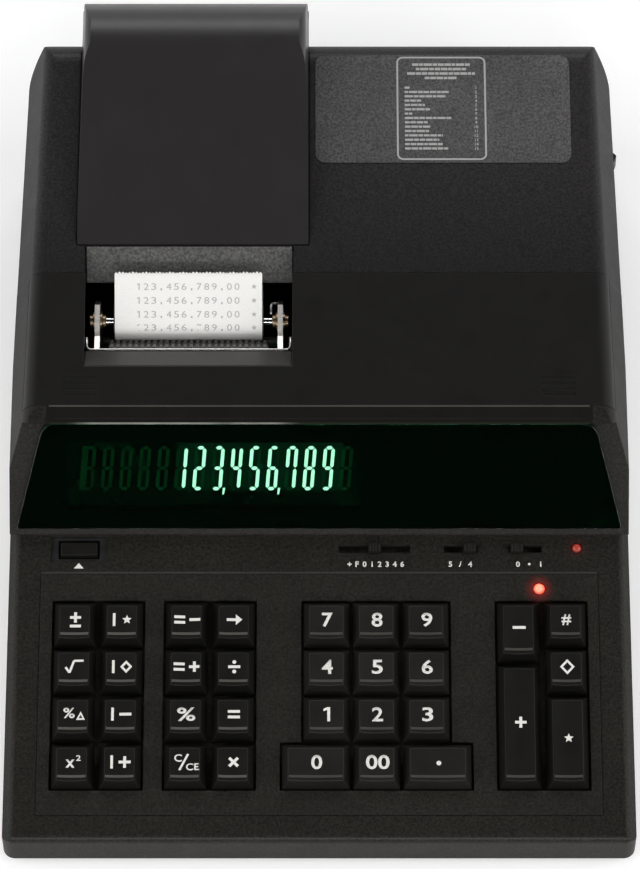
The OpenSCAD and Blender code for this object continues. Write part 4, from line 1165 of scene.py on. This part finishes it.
def wire(name, points, radius, material, body):
    """A round wire through points in millimetres."""
    curve = bpy.data.curves.new(name, "CURVE")
    curve.dimensions = "3D"
    curve.bevel_depth = radius
    curve.bevel_resolution = 3
    curve.use_fill_caps = True
    line = curve.splines.new("POLY")
    line.points.add(len(points) - 1)
    for point, place in zip(line.points, points):
        point.co = (*place, 1)
    tube = curve_mesh(curve)
    mesh = bmesh.new()
    mesh.from_mesh(tube)
    bpy.data.meshes.remove(tube)
    bmesh.ops.remove_doubles(mesh, verts=mesh.verts, dist=0.001)
    piece(name, mesh, Matrix.Identity(4), material, body)


WIRE_R = 0.5
HOOK_X = -18.9


def make_spring_hook():
    """A bent wire that reaches from beside the platen's shaft to the right frame plate."""
    x, y, z = HOOK_X, platen.y / MM, platen.z / MM
    points = [(x, y + 2.1, z + 1.8), (x, y + 3.2, z + 2.2), (x, y + 6.2, z + 2.0),
              (x + 0.5, y + 7.0, z + 1.8), (x + 1.4, y + 7.3, z + 1.6), (x + 2.7, y + 7.4, z + 1.5)]
    wire("spring_hook", points, WIRE_R, plated, CASE)


# The printer window's sides and sloping front edge, which starts and ends so far behind the cover's front.
# The last number is how far it ends under the cover's plane
WINDOW_X = (-91.0, -10.5)
LIP_HEAD = 16.5
LIP_END = (27.2, 7.3)


def make_window_rim():
    """A bright bead along the foot of the window's sloping front edge."""
    run, drop = LIP_END
    y = cover_low.y / MM + run
    z = cover_top(y * MM) / MM - drop
    left, right = WINDOW_X[0] + 0.6, WINDOW_X[1] - 0.6
    points = [(left, y + 5, z + 1.4), (left, y + 1.6, z + 0.4), (left + 0.5, y + 0.7, z + 0.15),
              (left + 1.6, y + 0.3, z)]
    points += [(left + right - px, py, pz) for px, py, pz in reversed(points)]
    wire("window_rim", points, WIRE_R, plated, "printer_cover")


def make_lip_highlight():
    """A paler strip on the window's sloping front edge: painted light on that lit slope."""
    run, drop = LIP_END
    head_y = cover_low.y + LIP_HEAD * MM
    foot_y = cover_low.y + run * MM
    head = Vector((0, head_y, cover_top(head_y)))
    fall = Vector((0, foot_y, cover_top(foot_y) - drop * MM)) - head
    left, right, low = WINDOW_X[0] + 0.4, WINDOW_X[1] - 0.4, fall.length / MM - 0.9
    sheet = Print()
    sheet.polygon([(left, 0.4), (right, 0.4), (right, low), (left, low)])
    place = sloping_frame(head, math.atan2(fall.z, fall.y))
    sheet.lay("lip_highlight", "printer_cover", place, painted_lip_light, 0.06, 0.15)


make_print()
make_type()
make_torn_edge()
make_bushes()
make_spring_hook()
make_window_rim()
make_lip_highlight()


# Floor, light and camera

# Camera: what it looks at, where it stands, and its focal length in pixels of an image this tall
TARGET = Vector((0.0003, -0.0035, 0.040))
ELEVATION = 60
DISTANCE = 1.8
FOCAL_PIXELS = 4607
LONG_SIDE = 869
SENSOR = 36

# The floor's half side in metres, and the stretch over which what the camera sees of it grows whiter
FLOOR_HALF = 6.0
FLOOR_RUN = (0.15, 1.5)
FLOOR_WHITE = (0.27, 0.75)
# World: plain light, light overhead in reflections, and the way and heights at which the backdrop ends
AMBIENT = 0.05
OVERHEAD = 0.012
BACKDROP = (0, -0.35, 1)
HORIZON = (0.1, 0.6)
# Light boxes: name, azimuth, elevation, distance, width and height in metres, watts
LIGHTS = (
    ("back_box", 180, 40, 2.2, (1.6, 0.7), 16),
    ("front_box", 0, 27, 2.4, (1.4, 0.35), 20),
    ("left_box", -72, 32, 2.2, (2.2, 2.0), 34),
    ("right_box", 72, 32, 2.2, (2.2, 2.0), 37),
)


def direction(azimuth, elevation):
    """Azimuth 0 is in front of the object, 90 on its right."""
    a, e = math.radians(azimuth), math.radians(elevation)
    return Vector((math.sin(a) * math.cos(e), -math.cos(a) * math.cos(e), math.sin(e)))


def look_from(thing, away, distance):
    bpy.context.scene.collection.objects.link(thing)
    thing.location = TARGET + away * distance
    thing.rotation_euler = (-away).to_track_quat("-Z", "Y").to_euler()


def make_floor():
    mesh = bpy.data.meshes.new("floor")
    corners = [(*corner, 0) for corner in box_points(0, 0, 2 * FLOOR_HALF, 2 * FLOOR_HALF)]
    mesh.from_pydata(corners, [], [(0, 1, 2, 3)])
    made, tree = new_material("floor_paper")
    path = add_node(tree, "ShaderNodeLightPath", {}).outputs
    seen = path["Is Camera Ray"]
    for other in ("Is Glossy Ray", "Is Transmission Ray"):
        seen = math_step(tree, "MAXIMUM", seen, path[other])
    white = spread(tree, vector_step(tree, "LENGTH", object_place(tree))[1], *FLOOR_RUN, *FLOOR_WHITE)
    mesh.materials.append(shaded(made, {
        "Base Color": (0.86, 0.86, 0.86, 1), "Roughness": 0.9, "Specular IOR Level": 0.1,
        "Emission Color": (1, 1, 1, 1), "Emission Strength": math_step(tree, "MULTIPLY", seen, white)}))
    floor = bpy.data.objects.new("floor", mesh)
    bpy.context.scene.collection.objects.link(floor)


def soft_light(name, azimuth, elevation, distance, size, watts):
    data = bpy.data.lights.new(name, "AREA")
    data.shape = "RECTANGLE"
    data.size, data.size_y = size
    data.energy = watts
    look_from(bpy.data.objects.new(name, data), direction(azimuth, elevation), distance)


def make_camera():
    data = bpy.data.cameras.new("camera")
    data.sensor_width = SENSOR
    data.lens = FOCAL_PIXELS / LONG_SIDE * SENSOR
    data.clip_end = 50
    camera = bpy.data.objects.new("camera", data)
    look_from(camera, direction(0, ELEVATION), DISTANCE)
    bpy.context.scene.camera = camera


def make_world():
    """Dim light, white to the camera, with a backdrop in reflections that is taller behind the object."""
    world = bpy.data.worlds.new("studio")
    world.use_nodes = True
    tree = world.node_tree
    heading = add_node(tree, "ShaderNodeTexCoord", {}).outputs["Generated"]
    height = vector_step(tree, "DOT_PRODUCT", heading, BACKDROP)[1]
    horizon = spread(tree, height, *HORIZON, 1, OVERHEAD)
    path = add_node(tree, "ShaderNodeLightPath", {}).outputs
    mirrored = math_step(tree, "MAXIMUM", path["Is Glossy Ray"], path["Is Transmission Ray"])
    shown = math_step(tree, "MULTIPLY", mirrored, horizon)
    seen = math_step(tree, "MAXIMUM", path["Is Camera Ray"], shown)
    plain = spread(tree, mirrored, 0, 1, AMBIENT, OVERHEAD)
    strength = math_step(tree, "MAXIMUM", seen, plain)
    set_inputs(tree, tree.nodes["Background"], {"Color": (1, 1, 1, 1), "Strength": strength})
    bpy.context.scene.world = world


make_floor()
make_camera()
make_world()
for light in LIGHTS:
    soft_light(*light)
bpy.context.scene.view_settings.view_transform = "Standard"
